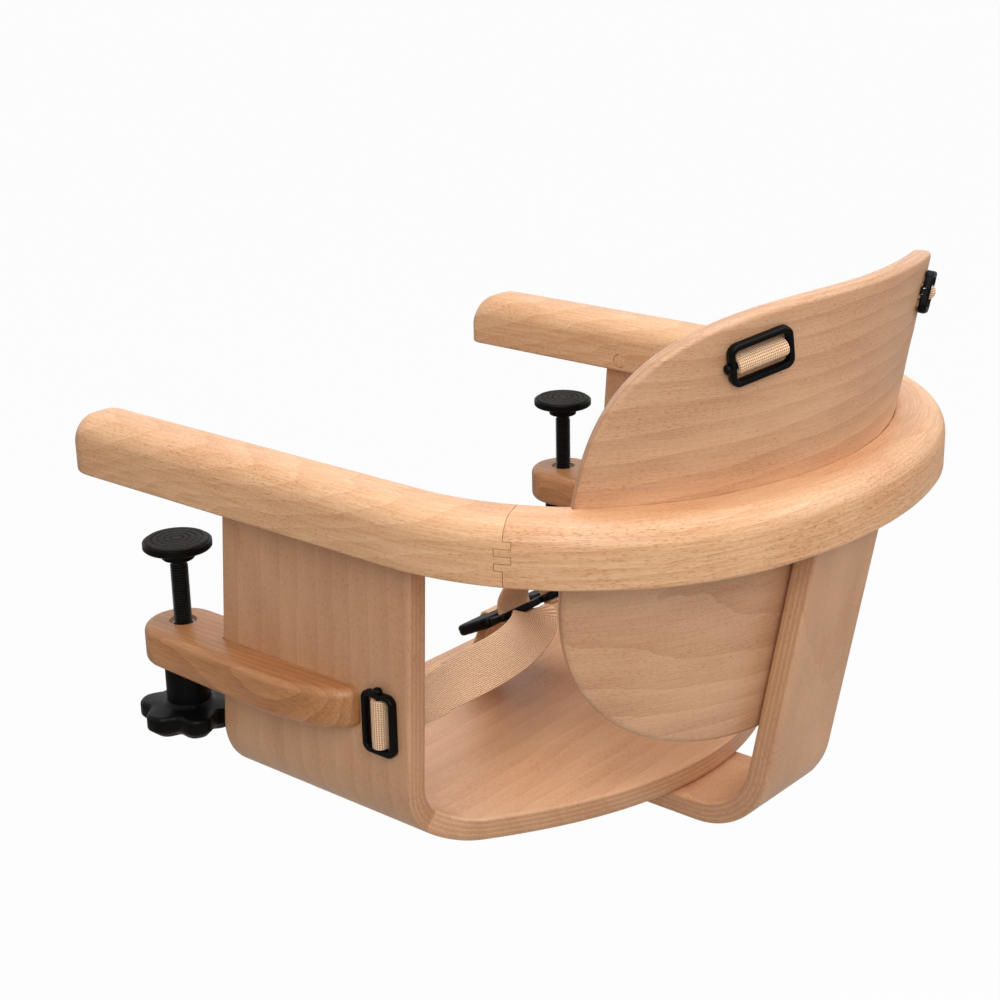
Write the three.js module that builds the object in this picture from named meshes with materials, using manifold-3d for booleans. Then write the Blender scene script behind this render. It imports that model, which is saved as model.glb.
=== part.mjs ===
// Hook-on table chair in beech and moulded plywood, in millimetres, +Z up.
// The origin is on the table's rear top edge, midway between the arms.
// +X is the seated child's left, +Y points away from the table, and Z = 0 is the table top.

import * as THREE from 'three';
import { mergeVertices } from 'three/addons/utils/BufferGeometryUtils.js';
import Module from 'manifold-3d';

const wasm = await Module();
wasm.setup();

// Fits and cuts
const clearance = 0.3;
const overrun = 2;

// Table that the chair is clamped to
const tableThickness = 31;

// Bent rail: two arms and the bow behind the child, one section all the way
const railWidth = 37;
const railHeight = 32.5;
const railTopRound = 13.5;
const railBottomRound = 2;
const armReach = 110;
const noseOuterRound = 19.5;
const noseInnerRound = 8;
const noseSlope = 18;
const noseEdgeHeight = 15.5;
const bottomRoundShare = 0.3;
const topRoundShare = 0.49;
const railSetIn = 2;
const cornerSetIn = 34.5;
const bowStandOff = 10.62;
const bowRadiusGain = 55;
const fingerAngle = 24;
const fingerLength = 8.4;
const fingerHeight = 3.65;
const fingerCount = 4;
const fingersZ = 8.6;

// Moulded seat shell: one sheet, side to seat to side
const shellHalfWidth = 172.5;
const shellPly = 12.5;
const shellBottomZ = -166;
const shellBendRadius = 37;
const shellTenon = 13;
const shellLength = 135.5;
const shellFrontY = 0.5;
const shellFrontLeanShare = 0.08;
const shellRearLeanShare = 0.047;
const seatBulge = 68;

// Moulded backrest: part of a leaning cylinder with an egg-shaped outline
const backPly = 11;
const backRadiusGain = 22.5;
const backRearY = 265.2;
const backLeanShare = 0.187;
const backSideGap = 31.3;
const backHousingDepth = 14;
const backEndShare = 0.9993;
const backCentreZ = 11.4;
const backRise = 115.5;
const backDrop = 127;
const backTopPower = 3.3;
const backBottomPower = 2.7;

// J-shaped plywood strap from the bow to the underside of the seat
const strapPly = 12.5;
const strapWidth = 63;
const strapBendRadius = 46;
const strapTenon = 13;
const strapLap = 83.5;

// Clamp bars on the outside of the shell
const barTopZ = -79.4;
const barHeight = 22.6;
const barNoseRadius = 21.5;
const barThickness = 20.5;
const barEndInset = 38.5;
const barTaperLength = 55;
const barEdgeRound = 5;
const barShoulderY = -22;
const barGrip = 21;

// Clamp screws, feet and knobs
const screwSetIn = 4;
const screwY = -42.3;
const screwDiameter = 10;
const screwChamfer = 0.8;
const insertDiameter = 13.4;
const insertInset = 1.5;
const ballRadius = 4.9;
const ballZ = -39.9;
const neckRadius = 3.6;
const neckLength = 1.7;
const padRadius = 17.2;
const padThickness = 2.2;
const footRadius = 19;
const footTopZ = -32.2;
const footPlateZ = -36.6;
const footBossRadius = 9;
const footBottomZ = -42.8;
const hubTopZ = -106;
const hubRadius = 12.3;
const knobTopZ = -128.4;
const knobBottomZ = -142;
const knobRadius = 25.5;
const knobLobe = 3;
const knobLobes = 6;
const knobEdgeRound = 2.5;
const knobFootHeight = 5;
const knobFootInset = 6;
const knobFaceRadius = 14;
const knobGrip = 24;

// Webbing
const webWidth = 27;
const webThickness = 2.2;
const seamGap = 0.5;
const tailLength = 30;
const waistApproach = 11;
const waistSag = 6;
const shoulderDrop = 14;
const shoulderReach = 18;
// Waist run in shares of the way across, the way forward and the sag, and its width's direction
const waistShares = [
  [0.18, 0.08, 0.1, 0.05, -0.15, 0.98],
  [0.42, 0.22, 0.5, 0.15, -0.45, 0.88],
  [0.67, 0.38, 0.8, 0.3, -0.62, 0.72],
  [0.85, 0.6, 0.7, 0.6, -0.58, 0.5],
  [0.96, 0.82, 0.3, 0.9, -0.3, 0.2],
];
// Shoulder run in shares of the way across, back and up, and of its turn
const shoulderShares = [
  [0, -0.01, 0.05, 0],
  [0.02, 0.03, 0.11, 0.1],
  [0.2, 0.25, 0.3, 0.5],
  [0.5, 0.52, 0.55, 0.9],
  [0.8, 0.8, 0.81, 1],
];

// Strap retainers: a ring and a pin that the webbing is looped round, each over its slot
const ringLength = 34.4;
const ringWidth = 22;
const ringThickness = 4.4;
const ringRim = 3.2;
const ringSideRim = 3.2;
const ringCorner = 5;
const ringEdgeRound = 1;
const pinRadius = 1.7;
const pinOverhang = 2.2;
const sideRetainerInset = 23;
const sideRetainerZ = -94;
const backRetainerAngle = 23.1;
const backRetainerZ = 102;
const backRetainerTilt = 13;
const crotchRetainerY = 28;

// Buckle where the harness straps meet, a flat plate over the seat a little to one side:
// a housing in front and two tongues side by side behind it
const buckleX = -7;
const buckleY = 52.6;
const buckleZ = -105.4;
const buckleTilt = 27;
const buckleLength = 74;
const buckleFront = 20;
const buckleRear = 8;
const buckleThickness = 6.5;
const buckleRound = 1.5;
const buckleCorner = 6;
const buckleNotch = 8.8;
const buckleBarRadius = 2.5;
const buckleBarInset = 3.5;
const tongueCentre = 19;
const tongueWidth = 36;
const tongueDepth = 13;
const tongueThickness = 4;
const tongueBar = 4.3;
const tongueWindow = 6.2;
const tongueRound = 1;
const tongueCorner = 3;
const plugLength = 11;
const plugWidth = 18;

// Fasteners
const screwHeadRadius = 4;
const screwHeadHeight = 2.6;
const screwShankRadius = 2;
const screwPointLength = 4;
const plugRadius = 4.6;
const plugDepth = 5;
const armScrewZ = 6.8;
const armScrewFrontY = 17;
const armScrewRearInset = 17.5;
const armScrewLength = 24;
const barScrewFrontY = 22;
const barScrewRearInset = 73.5;
const barScrewLength = 26;
const strapScrewFrontInset = 61.5;
const strapScrewRearInset = 25.5;
const strapScrewX = 16;
const strapScrewLength = 21;
const backScrewUpperZ = -38;
const backScrewLowerZ = -84;
const backScrewLength = 20;
const bowScrewAngle = 30;
const bowScrewZ = 16;
const bowScrewLength = 26;

// Finishes
const beech = { color: 0xdcae82, roughness: 0.5, metalness: 0 };
const plywood = { color: 0xd3a67e, roughness: 0.55, metalness: 0 };
const blackPlastic = { color: 0x17181a, roughness: 0.4, metalness: 0 };
const blackSteel = { color: 0x1c1c1e, roughness: 0.45, metalness: 0.8 };
const zincSteel = { color: 0xa9abad, roughness: 0.4, metalness: 1 };
const rubber = { color: 0x2a2624, roughness: 0.9, metalness: 0 };
const webbing = { color: 0xd9bd98, roughness: 0.95, metalness: 0 };

// Right angle, in degrees
const quarter = 90;

// Sizes that follow from those above
const shellInnerX = shellHalfWidth - shellPly;
const screwX = shellHalfWidth - screwSetIn;
const barGripX = screwX - barGrip;
const backRadius = shellHalfWidth + backRadiusGain;
const backInnerRadius = backRadius - backPly;
const backHalfAngle = Math.asin((shellHalfWidth - backSideGap) / backRadius);
const bowRadius = backRadius + bowRadiusGain;
const railCentreX = shellHalfWidth - railSetIn;
const cornerRadius = shellHalfWidth - cornerSetIn;
const cornerX = railCentreX - cornerRadius;
const bendAngle = Math.acos(cornerX / (bowRadius - cornerRadius));
const bowCentreY = backRearY + bowStandOff - bowRadius;
const cornerCentreY = bowCentreY + (bowRadius - cornerRadius) * Math.sin(bendAngle);
const sideRetainerY = shellLength - sideRetainerInset;
const seatRearY = shellLength + seatBulge;
const strapFrontY = seatRearY - strapLap;
const armScrewYs = [armScrewFrontY, shellLength - armScrewRearInset];
const barEndY = shellLength - barEndInset;
const barScrewYs = [barScrewFrontY, shellLength - barScrewRearInset];
const strapScrewYs = [seatRearY - strapScrewFrontInset, seatRearY - strapScrewRearInset];

// Left and right pieces are the same function with side = 1 or -1.
const sides = [['left', 1], ['right', -1]];

const part = new THREE.Group();
const X = 0;
const Y = 1;
const Z = 2;

function addMesh(name, geometry, look) {
  const mesh = new THREE.Mesh(geometry, new THREE.MeshStandardMaterial(look));
  mesh.name = name;
  part.add(mesh);
  return mesh;
}

// Closed geometry from points and triangles, turned so that its faces point out.
function closedGeometry(points, triangles) {
  let volume = 0;
  for (let i = 0; i < triangles.length; i += 3) {
    const [a, b, c] = [points[triangles[i]], points[triangles[i + 1]], points[triangles[i + 2]]];
    volume += a[X] * (b[Y] * c[Z] - b[Z] * c[Y]);
    volume += a[Y] * (b[Z] * c[X] - b[X] * c[Z]);
    volume += a[Z] * (b[X] * c[Y] - b[Y] * c[X]);
  }
  const turned = volume < 0 ? triangles.slice().reverse() : triangles;
  const geometry = new THREE.BufferGeometry();
  geometry.setAttribute('position', new THREE.Float32BufferAttribute(points.flat(), 3));
  geometry.setIndex(turned);
  return geometry;
}

// Skin over a row of closed convex rings, with a fan over each end.
function loft(rings) {
  const count = rings[0].length;
  const points = rings.flat();
  const triangles = [];
  for (let i = 0; i + 1 < rings.length; i++) {
    for (let j = 0; j < count; j++) {
      const a = i * count + j;
      const b = i * count + ((j + 1) % count);
      triangles.push(a, b, a + count, b, b + count, a + count);
    }
  }
  const last = (rings.length - 1) * count;
  for (let j = 1; j + 1 < count; j++) {
    triangles.push(0, j + 1, j, last, last + j, last + j + 1);
  }
  return closedGeometry(points, triangles);
}

// Sheet of some thickness between two grids of points, each a list of rows.
function sheet(front, back) {
  const rows = front.length;
  const columns = front[0].length;
  const points = [...front.flat(), ...back.flat()];
  const half = rows * columns;
  const triangles = [];
  const quad = (a, b, c, d) => triangles.push(a, b, c, a, c, d);
  const at = (i, j) => i * columns + j;
  for (let i = 0; i + 1 < rows; i++) {
    for (let j = 0; j + 1 < columns; j++) {
      quad(at(i, j), at(i, j + 1), at(i + 1, j + 1), at(i + 1, j));
      quad(half + at(i, j), half + at(i + 1, j), half + at(i + 1, j + 1), half + at(i, j + 1));
    }
    const right = columns - 1;
    quad(at(i, 0), at(i + 1, 0), half + at(i + 1, 0), half + at(i, 0));
    quad(at(i + 1, right), at(i, right), half + at(i, right), half + at(i + 1, right));
  }
  for (let j = 0; j + 1 < columns; j++) {
    const top = rows - 1;
    quad(at(0, j + 1), at(0, j), half + at(0, j), half + at(0, j + 1));
    quad(at(top, j), at(top, j + 1), half + at(top, j + 1), half + at(top, j));
  }
  return closedGeometry(points, triangles);
}

function toManifold(geometry) {
  const bare = geometry.index ? geometry.clone() : geometry;
  bare.deleteAttribute('normal');
  bare.deleteAttribute('uv');
  const merged = mergeVertices(bare, 1e-4);
  return new wasm.Manifold(new wasm.Mesh({
    numProp: 3,
    vertProperties: new Float32Array(merged.attributes.position.array),
    triVerts: new Uint32Array(merged.index.array),
  }));
}

function fromManifold(solid) {
  const mesh = solid.getMesh();
  const geometry = new THREE.BufferGeometry();
  geometry.setAttribute('position', new THREE.Float32BufferAttribute(mesh.vertProperties, 3));
  geometry.setIndex(Array.from(mesh.triVerts));
  return geometry;
}

function cut(geometry, ...tools) {
  let solid = toManifold(geometry);
  for (const tool of tools) {
    solid = solid.subtract(toManifold(tool));
  }
  return fromManifold(solid);
}

// Box given by its lowest and highest corners.
function block(low, high) {
  const size = high.map((value, i) => value - low[i]);
  const geometry = new THREE.BoxGeometry(...size);
  geometry.translate(...low.map((value, i) => value + size[i] / 2));
  return geometry;
}

// Turned piece: profile of [radius, height] pairs, its axis laid from a point along a direction.
function turned(profile, start, direction, segments = 24) {
  const outline = profile.map(([radius, height]) => new THREE.Vector2(radius, height));
  const geometry = new THREE.LatheGeometry(outline, segments);
  geometry.deleteAttribute('normal');
  geometry.deleteAttribute('uv');
  const closed = mergeVertices(geometry, 1e-4);
  dropFlatFaces(closed);
  const up = new THREE.Vector3(0, 1, 0);
  const axis = new THREE.Vector3(...direction).normalize();
  closed.applyQuaternion(new THREE.Quaternion().setFromUnitVectors(up, axis));
  closed.translate(...start);
  return closed;
}

// A lathe leaves faces without area where its profile meets the axis.
function dropFlatFaces(geometry) {
  const kept = [];
  const index = geometry.index.array;
  for (let i = 0; i < index.length; i += 3) {
    const [a, b, c] = [index[i], index[i + 1], index[i + 2]];
    if (a !== b && b !== c && c !== a) {
      kept.push(a, b, c);
    }
  }
  geometry.setIndex(kept);
}

function rod(radius, length, start, direction, segments = 12) {
  return turned([[0, 0], [radius, 0], [radius, length], [0, length]], start, direction, segments);
}

const radians = THREE.MathUtils.degToRad;
const clamp = THREE.MathUtils.clamp;

// Numbers spread evenly from one value to another, both included.
function spread(from, to, steps) {
  return Array.from({ length: steps + 1 }, (_, i) => from + ((to - from) * i) / steps);
}

// Rail: plan curve of the arms and the bow

// Points along the left half of the rail, from the nose to the middle of the bow,
// each with its outward direction and its distance from the nose.
function leftHalfOfRail() {
  const stations = [];
  for (const angle of spread(0, Math.PI / 2, 6)) {
    stations.push({ along: noseOuterRound * (1 - Math.cos(angle)) });
  }
  stations.push({ along: armReach });
  for (const station of stations) {
    station.x = railCentreX;
    station.y = station.along - armReach;
    station.out = 0;
  }
  for (const angle of spread(0, bendAngle, 11)) {
    stations.push({
      along: armReach + cornerCentreY + cornerRadius * angle,
      x: cornerX + cornerRadius * Math.cos(angle),
      y: cornerCentreY + cornerRadius * Math.sin(angle),
      out: angle,
    });
  }
  for (const angle of spread(bendAngle, Math.PI / 2, 4).slice(1)) {
    stations.push({
      along: Infinity,
      x: bowRadius * Math.cos(angle),
      y: bowCentreY + bowRadius * Math.sin(angle),
      out: angle,
    });
  }
  return stations;
}

// Height of a quarter round at a distance from where it starts, as a share of its radius.
function quarterRound(radius, along) {
  return Math.sqrt(1 - (1 - clamp(along / radius, 0, 1)) ** 2);
}

// Rounded section of the rail. Towards the nose it gets lower, and its outer corner is cut
// back in plan with a larger radius than its inner one.
function railRing(station) {
  const outerCut = noseOuterRound * (1 - quarterRound(noseOuterRound, station.along));
  const innerCut = noseInnerRound * (1 - quarterRound(noseInnerRound, station.along));
  const width = railWidth - outerCut - innerCut;
  const middle = (innerCut - outerCut) / 2;
  const rise = quarterRound(noseSlope, station.along);
  const height = noseEdgeHeight + (railHeight - noseEdgeHeight) * rise;
  const bottomRound = Math.min(railBottomRound, Math.min(width, height) * bottomRoundShare);
  const topRound = Math.min(railTopRound, width * topRoundShare, height - bottomRound);
  const corners = [
    { side: 1, low: height - topRound, round: topRound, from: 0, steps: 4 },
    { side: -1, low: height - topRound, round: topRound, from: quarter, steps: 4 },
    { side: -1, low: bottomRound, round: bottomRound, from: 2 * quarter, steps: 1 },
    { side: 1, low: bottomRound, round: bottomRound, from: 3 * quarter, steps: 1 },
  ];
  const ring = [];
  for (const corner of corners) {
    for (const angle of spread(corner.from, corner.from + quarter, corner.steps)) {
      const across = middle + corner.side * (width / 2 - corner.round)
        + corner.round * Math.cos(radians(angle));
      const up = corner.low + corner.round * Math.sin(radians(angle));
      ring.push([
        station.x + across * Math.cos(station.out),
        station.y + across * Math.sin(station.out),
        up,
      ]);
    }
  }
  return ring;
}

function mirroredRing(ring) {
  return ring.map(([x, y, z]) => [-x, y, z]);
}

const leftRings = leftHalfOfRail().map(railRing);
const rightRings = leftRings.slice(0, -1).reverse().map(mirroredRing);
const rail = loft([...leftRings, ...rightRings]);

// Blocks that part an arm from the bow: flat above and below, with fingers in the middle.
// The wider fingers take half the glue gap in height.
function fingerBlocks(side, keepsArm) {
  const reach = 2 * bowRadius;
  const heights = spread(fingersZ, fingersZ + fingerCount * fingerHeight, fingerCount);
  const levels = [-overrun, ...heights, railHeight + overrun];
  return levels.slice(1).map((high, i) => {
    const low = levels[i];
    const isFinger = i > 0 && i <= fingerCount;
    const armIsLong = isFinger ? i % 2 === 0 : !keepsArm;
    const step = isFinger ? (armIsLong ? 1 : -1) * fingerLength / 2 : 0;
    const shift = step + (keepsArm ? -1 : 1) * clearance / 2;
    const spare = keepsArm !== armIsLong ? clearance / 2 : -clearance / 2;
    const along = keepsArm ? [shift, reach] : [-reach, shift];
    const bottom = i === 0 ? low : low - spare;
    const top = i === levels.length - 2 ? high : high + spare;
    const geometry = block([-reach, along[0], bottom], [reach, along[1], top]);
    geometry.rotateZ(radians(fingerAngle));
    geometry.translate(cornerX, cornerCentreY, 0);
    if (side < 0) {
      geometry.scale(-1, 1, 1);
      flip(geometry);
    }
    return geometry;
  });
}

function flip(geometry) {
  const index = geometry.index.array;
  for (let i = 0; i < index.length; i += 3) {
    [index[i], index[i + 1]] = [index[i + 1], index[i]];
  }
  geometry.deleteAttribute('normal');
}

// Backrest surface: a point at an angle round the lean cylinder, a height and a radius

function backPoint(angle, z, radius) {
  return [
    radius * Math.sin(angle),
    backRearY + backLeanShare * z - backRadius + radius * Math.cos(angle),
    z,
  ];
}

// Half angle that the backrest covers at a height, with the rounded top and bottom.
function backHalfAngleAt(z) {
  const above = z > backCentreZ;
  const reach = above ? backRise : backDrop;
  const power = above ? backTopPower : backBottomPower;
  const share = clamp(Math.abs(z - backCentreZ) / reach, 0, backEndShare);
  return backHalfAngle * (1 - share ** power) ** (1 / power);
}

function backGrid(heights, radius, extraAngle, steps) {
  return heights.map((z) => {
    const half = backHalfAngleAt(z) + extraAngle;
    return spread(-half, half, steps).map((angle) => backPoint(angle, z, radius));
  });
}

// Directions at a place on the backrest: out of its rear face, round it and up it.
function backFrame(angle) {
  const out = new THREE.Vector3(
    Math.sin(angle), Math.cos(angle), -backLeanShare * Math.cos(angle),
  ).normalize();
  const round = new THREE.Vector3(Math.cos(angle), -Math.sin(angle), 0);
  const up = new THREE.Vector3().crossVectors(round, out);
  return { out, round, up };
}

function backOutline() {
  const turns = spread(0, Math.PI / 2, 9);
  const below = turns.map((angle) => backCentreZ - backDrop * Math.sin(angle)).reverse();
  const above = turns.map((angle) => backCentreZ + backRise * Math.sin(angle));
  return [...below, ...above.slice(1)];
}

const backHeights = backOutline();
const backBlank = sheet(
  backGrid(backHeights, backRadius, 0, 14),
  backGrid(backHeights, backInnerRadius, 0, 14),
);

// Housing in the bow that the backrest lies in, open towards the seat.
const housingHeights = [-2 * overrun, railHeight / 2, railHeight + 2 * overrun];
const backHousing = sheet(
  backGrid(housingHeights, backRadius + clearance, clearance / backRadius, 14),
  backGrid(housingHeights, backInnerRadius - backHousingDepth, clearance / backRadius, 14),
);

// Rear strap: profile from its tenon in the bow down and forward under the seat

const leanAngle = Math.atan(backLeanShare);
const strapFaceY = backRearY + clearance;
const strapRearY = strapFaceY + strapPly / Math.cos(leanAngle);
const strapTopZ = shellBottomZ - clearance;
const strapBottomZ = strapTopZ - strapPly;
const strapBendZ = strapBottomZ + strapBendRadius;
const strapBendY = strapRearY + backLeanShare * strapBendZ - strapBendRadius / Math.cos(leanAngle);

function strapEdge(radius, legY) {
  const top = strapTenon;
  const rows = [[legY + backLeanShare * top, top]];
  for (const angle of spread(-leanAngle, -Math.PI / 2, 9)) {
    rows.push([strapBendY + radius * Math.cos(angle), strapBendZ + radius * Math.sin(angle)]);
  }
  rows.push([strapFrontY, strapBendZ - radius]);
  return rows;
}

function strapSheet(halfWidth, grow) {
  const wide = (rows) => rows.map(([y, z]) => [[-halfWidth, y, z], [halfWidth, y, z]]);
  return sheet(
    wide(strapEdge(strapBendRadius + grow, strapRearY + grow)),
    wide(strapEdge(strapBendRadius - strapPly - grow, strapFaceY - grow)),
  );
}

// Seat shell: stations down one side, under the seat and up the other

function shellStations() {
  const bendX = shellHalfWidth - shellBendRadius;
  const bendZ = shellBottomZ + shellBendRadius;
  const stations = [
    { x: shellHalfWidth, z: shellTenon, nx: 1, nz: 0 },
    { x: shellHalfWidth, z: 0, nx: 1, nz: 0 },
  ];
  for (const angle of spread(0, -Math.PI / 2, 8)) {
    stations.push({
      x: bendX + shellBendRadius * Math.cos(angle),
      z: bendZ + shellBendRadius * Math.sin(angle),
      nx: Math.cos(angle),
      nz: Math.sin(angle),
    });
  }
  for (const x of spread(bendX, 0, 7).slice(1)) {
    stations.push({ x, z: shellBottomZ, nx: 0, nz: -1 });
  }
  const other = stations.slice(0, -1).reverse();
  return [...stations, ...other.map((station) => ({ ...station, x: -station.x, nx: -station.nx }))];
}

function shellFront(z) {
  return shellFrontY + shellFrontLeanShare * Math.min(z, 0);
}

function shellRear(x, z) {
  const share = Math.min(Math.abs(x) / shellInnerX, 1);
  return shellLength + shellRearLeanShare * Math.min(z, 0) + seatBulge * (1 - share ** 2);
}

function shellGrid(depth) {
  return shellStations().map((station) => {
    const x = station.x - depth * station.nx;
    const z = station.z - depth * station.nz;
    const outside = [station.x, station.z];
    return [[x, shellFront(outside[1]), z], [x, shellRear(outside[0], outside[1]), z]];
  });
}

const shellBlank = sheet(shellGrid(0), shellGrid(shellPly));

// Mortises in the rail for the shell's tenons and the strap's tenon

function shellMortise(side) {
  const edges = [side * (shellInnerX - clearance), side * (shellHalfWidth + clearance)];
  return block(
    [Math.min(...edges), shellFrontY - clearance, -overrun],
    [Math.max(...edges), shellLength + clearance, shellTenon + clearance],
  );
}

function strapMortise() {
  const mortise = strapSheet(strapWidth / 2 + clearance, clearance);
  const roof = strapTenon + clearance;
  mortise.translate(0, backLeanShare * clearance, clearance);
  return cut(mortise, block(
    [-strapWidth, -bowRadius, strapBottomZ - overrun],
    [strapWidth, 2 * bowRadius, -roof],
  ));
}

// Fasteners

function flatHeadScrew(name, length, start, direction) {
  const profile = [
    [0, 0],
    [screwHeadRadius - clearance, 0],
    [screwHeadRadius - clearance, screwHeadHeight / 3],
    [screwShankRadius, screwHeadHeight],
    [screwShankRadius, length - screwPointLength],
    [0, length],
  ];
  addMesh(name, turned(profile, start, direction, 10), zincSteel);
}

// Clearance hole for one of these screws, with room for its head.
function screwHole(length, start, direction) {
  const profile = [
    [0, -overrun],
    [screwHeadRadius, -overrun],
    [screwHeadRadius, screwHeadHeight + clearance],
    [screwShankRadius + clearance, screwHeadHeight + clearance],
    [screwShankRadius + clearance, length + clearance],
    [0, length + clearance],
  ];
  return turned(profile, start, direction, 10);
}

// Retainers: places on the outer faces, each with its length along x and its outward face along z

const barFaceX = shellHalfWidth + clearance;
const barNotchY = shellFront(barTopZ - barHeight) - 2 * clearance;
const barScrewZ = barTopZ - barHeight / 2;
const pinAxisHeight = clearance + pinRadius;

function placeOn(point, along, out) {
  const z = out.clone().normalize();
  const x = along.clone().addScaledVector(z, -along.dot(z)).normalize();
  const y = new THREE.Vector3().crossVectors(z, x);
  return new THREE.Matrix4().makeBasis(x, y, z).setPosition(...point);
}

function placed(geometry, place) {
  geometry.applyMatrix4(place);
  return geometry;
}

function sideRetainer(side) {
  return placeOn(
    [side * shellHalfWidth, sideRetainerY, sideRetainerZ],
    new THREE.Vector3(0, 0, 1),
    new THREE.Vector3(side, 0, 0),
  );
}

function backRetainer(side) {
  const angle = side * radians(backRetainerAngle);
  const { out, round, up } = backFrame(angle);
  const tilt = radians(backRetainerTilt);
  const along = round.multiplyScalar(Math.cos(tilt)).addScaledVector(up, -side * Math.sin(tilt));
  return placeOn(backPoint(angle, backRetainerZ, backRadius), along, out);
}

const crotchRetainer = placeOn(
  [0, crotchRetainerY, shellBottomZ],
  new THREE.Vector3(1, 0, 0),
  new THREE.Vector3(0, 0, -1),
);

// Slot for two layers of webbing beside a retainer's pin
function retainerSlot(place, ply) {
  const halfWidth = pinRadius + webThickness + 2 * clearance + clearance;
  const halfLength = webWidth / 2 + 2 * clearance;
  return placed(block(
    [-halfLength, -halfWidth, -ply - 2 * overrun],
    [halfLength, halfWidth, 2 * overrun],
  ), place);
}

// Arms, with their cross screws and plugs

const railInnerX = railCentreX - railWidth / 2;
const armScrewStartX = railInnerX + plugDepth + clearance;

for (const [label, side] of sides) {
  const inward = [-side, 0, 0];
  const outward = [side, 0, 0];
  const holes = armScrewYs.flatMap((y) => [
    screwHole(armScrewLength, [side * armScrewStartX, y, armScrewZ], outward),
    rod(plugRadius, plugDepth + clearance + overrun, [side * armScrewStartX, y, armScrewZ], inward),
  ]);
  const otherHalf = block(
    [side > 0 ? -2 * bowRadius : -cornerX, -2 * bowRadius, -overrun],
    [side > 0 ? cornerX : 2 * bowRadius, 2 * bowRadius, railHeight + overrun],
  );
  const fingers = fingerBlocks(side, true);
  const arm = cut(rail, otherHalf, ...fingers, shellMortise(side), ...holes);
  addMesh(`arm_${label}`, arm, beech);

  armScrewYs.forEach((y, i) => {
    const end = ['front', 'rear'][i];
    flatHeadScrew(
      `arm_screw_${end}_${label}`, armScrewLength, [side * armScrewStartX, y, armScrewZ], outward,
    );
    addMesh(`arm_plug_${end}_${label}`, rod(
      plugRadius - clearance, plugDepth - clearance,
      [side * (armScrewStartX - clearance), y, armScrewZ], inward, 16,
    ), beech);
  });
}

// Bow, housed for the backrest and the strap

const bowScrews = sides.map(([label, side]) => {
  const angle = side * radians(bowScrewAngle);
  const start = backPoint(angle, bowScrewZ, backInnerRadius);
  const { out } = backFrame(angle);
  return { label, start, direction: out.toArray() };
});
const bow = cut(
  rail,
  ...fingerBlocks(1, false),
  ...fingerBlocks(-1, false),
  backHousing,
  strapMortise(),
  ...bowScrews.map(({ start, direction }) => screwHole(bowScrewLength, start, direction)),
);
addMesh('back_bow', bow, beech);

// Seat shell with its slots and screw holes

const shellHoles = sides.flatMap(([, side]) => {
  const inside = side * shellInnerX;
  const outward = [side, 0, 0];
  return [
    retainerSlot(sideRetainer(side), shellPly),
    ...armScrewYs.map((y) => rod(
      screwShankRadius + clearance, shellPly + 2 * overrun,
      [inside - side * overrun, y, armScrewZ], outward,
    )),
    ...barScrewYs.map((y) => screwHole(barScrewLength, [inside, y, barScrewZ], outward)),
  ];
});
const strapScrewPlaces = strapScrewYs.flatMap((y) => [[strapScrewX, y], [-strapScrewX, y]]);
const strapScrewHoles = strapScrewPlaces.map(([x, y]) => (
  screwHole(strapScrewLength, [x, y, strapBottomZ], [0, 0, 1])
));
addMesh('seat_shell', cut(
  shellBlank, ...shellHoles, retainerSlot(crotchRetainer, shellPly), ...strapScrewHoles,
), plywood);

// Rear strap and its screws

const backScrews = [backScrewUpperZ, backScrewLowerZ].map((z) => ({
  start: backPoint(0, z, backInnerRadius),
  direction: backFrame(0).out.toArray(),
}));
const backScrewHoles = backScrews.map(({ start, direction }) => (
  screwHole(backScrewLength, start, direction)
));
const strap = cut(strapSheet(strapWidth / 2, 0), ...strapScrewHoles, ...backScrewHoles);
addMesh('rear_strap', strap, plywood);
strapScrewPlaces.forEach(([x, y], i) => {
  flatHeadScrew(`strap_screw_${i + 1}`, strapScrewLength, [x, y, strapBottomZ], [0, 0, 1]);
});

// Backrest

const backrest = cut(
  backBlank,
  ...sides.map(([, side]) => retainerSlot(backRetainer(side), backPly)),
  ...backScrewHoles,
  ...bowScrews.map(({ start, direction }) => screwHole(bowScrewLength, start, direction)),
);
addMesh('backrest', backrest, plywood);
backScrews.forEach(({ start, direction }, i) => {
  flatHeadScrew(`back_screw_${['upper', 'lower'][i]}`, backScrewLength, start, direction);
});
for (const { label, start, direction } of bowScrews) {
  flatHeadScrew(`bow_screw_${label}`, bowScrewLength, start, direction);
}

// Clamp bars: plan outline round the screw, along the shell and tapering to the rear end.
// The outline runs into the shell's place, which is then cut away with its front edge.

function barOutline() {
  const shape = new THREE.Shape();
  const taperY = barEndY - barTaperLength;
  shape.moveTo(shellInnerX, barNotchY);
  shape.lineTo(shellInnerX, barEndY);
  for (const angle of spread(0, quarter, 7)) {
    shape.lineTo(
      barFaceX + barThickness * Math.sin(radians(angle)),
      taperY + barTaperLength * Math.cos(radians(angle)),
    );
  }
  for (const angle of spread(0, -2 * quarter, 12)) {
    const reach = angle > -quarter ? barNoseRadius : barGrip;
    shape.lineTo(
      screwX + reach * Math.cos(radians(angle)),
      screwY + barNoseRadius * Math.sin(radians(angle)),
    );
  }
  for (const angle of spread(2 * quarter, quarter, 5)) {
    shape.lineTo(
      shellInnerX + (shellInnerX - barGripX) * Math.cos(radians(angle)),
      barShoulderY + (barNotchY - barShoulderY) * Math.sin(radians(angle)),
    );
  }
  return shape;
}

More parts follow.
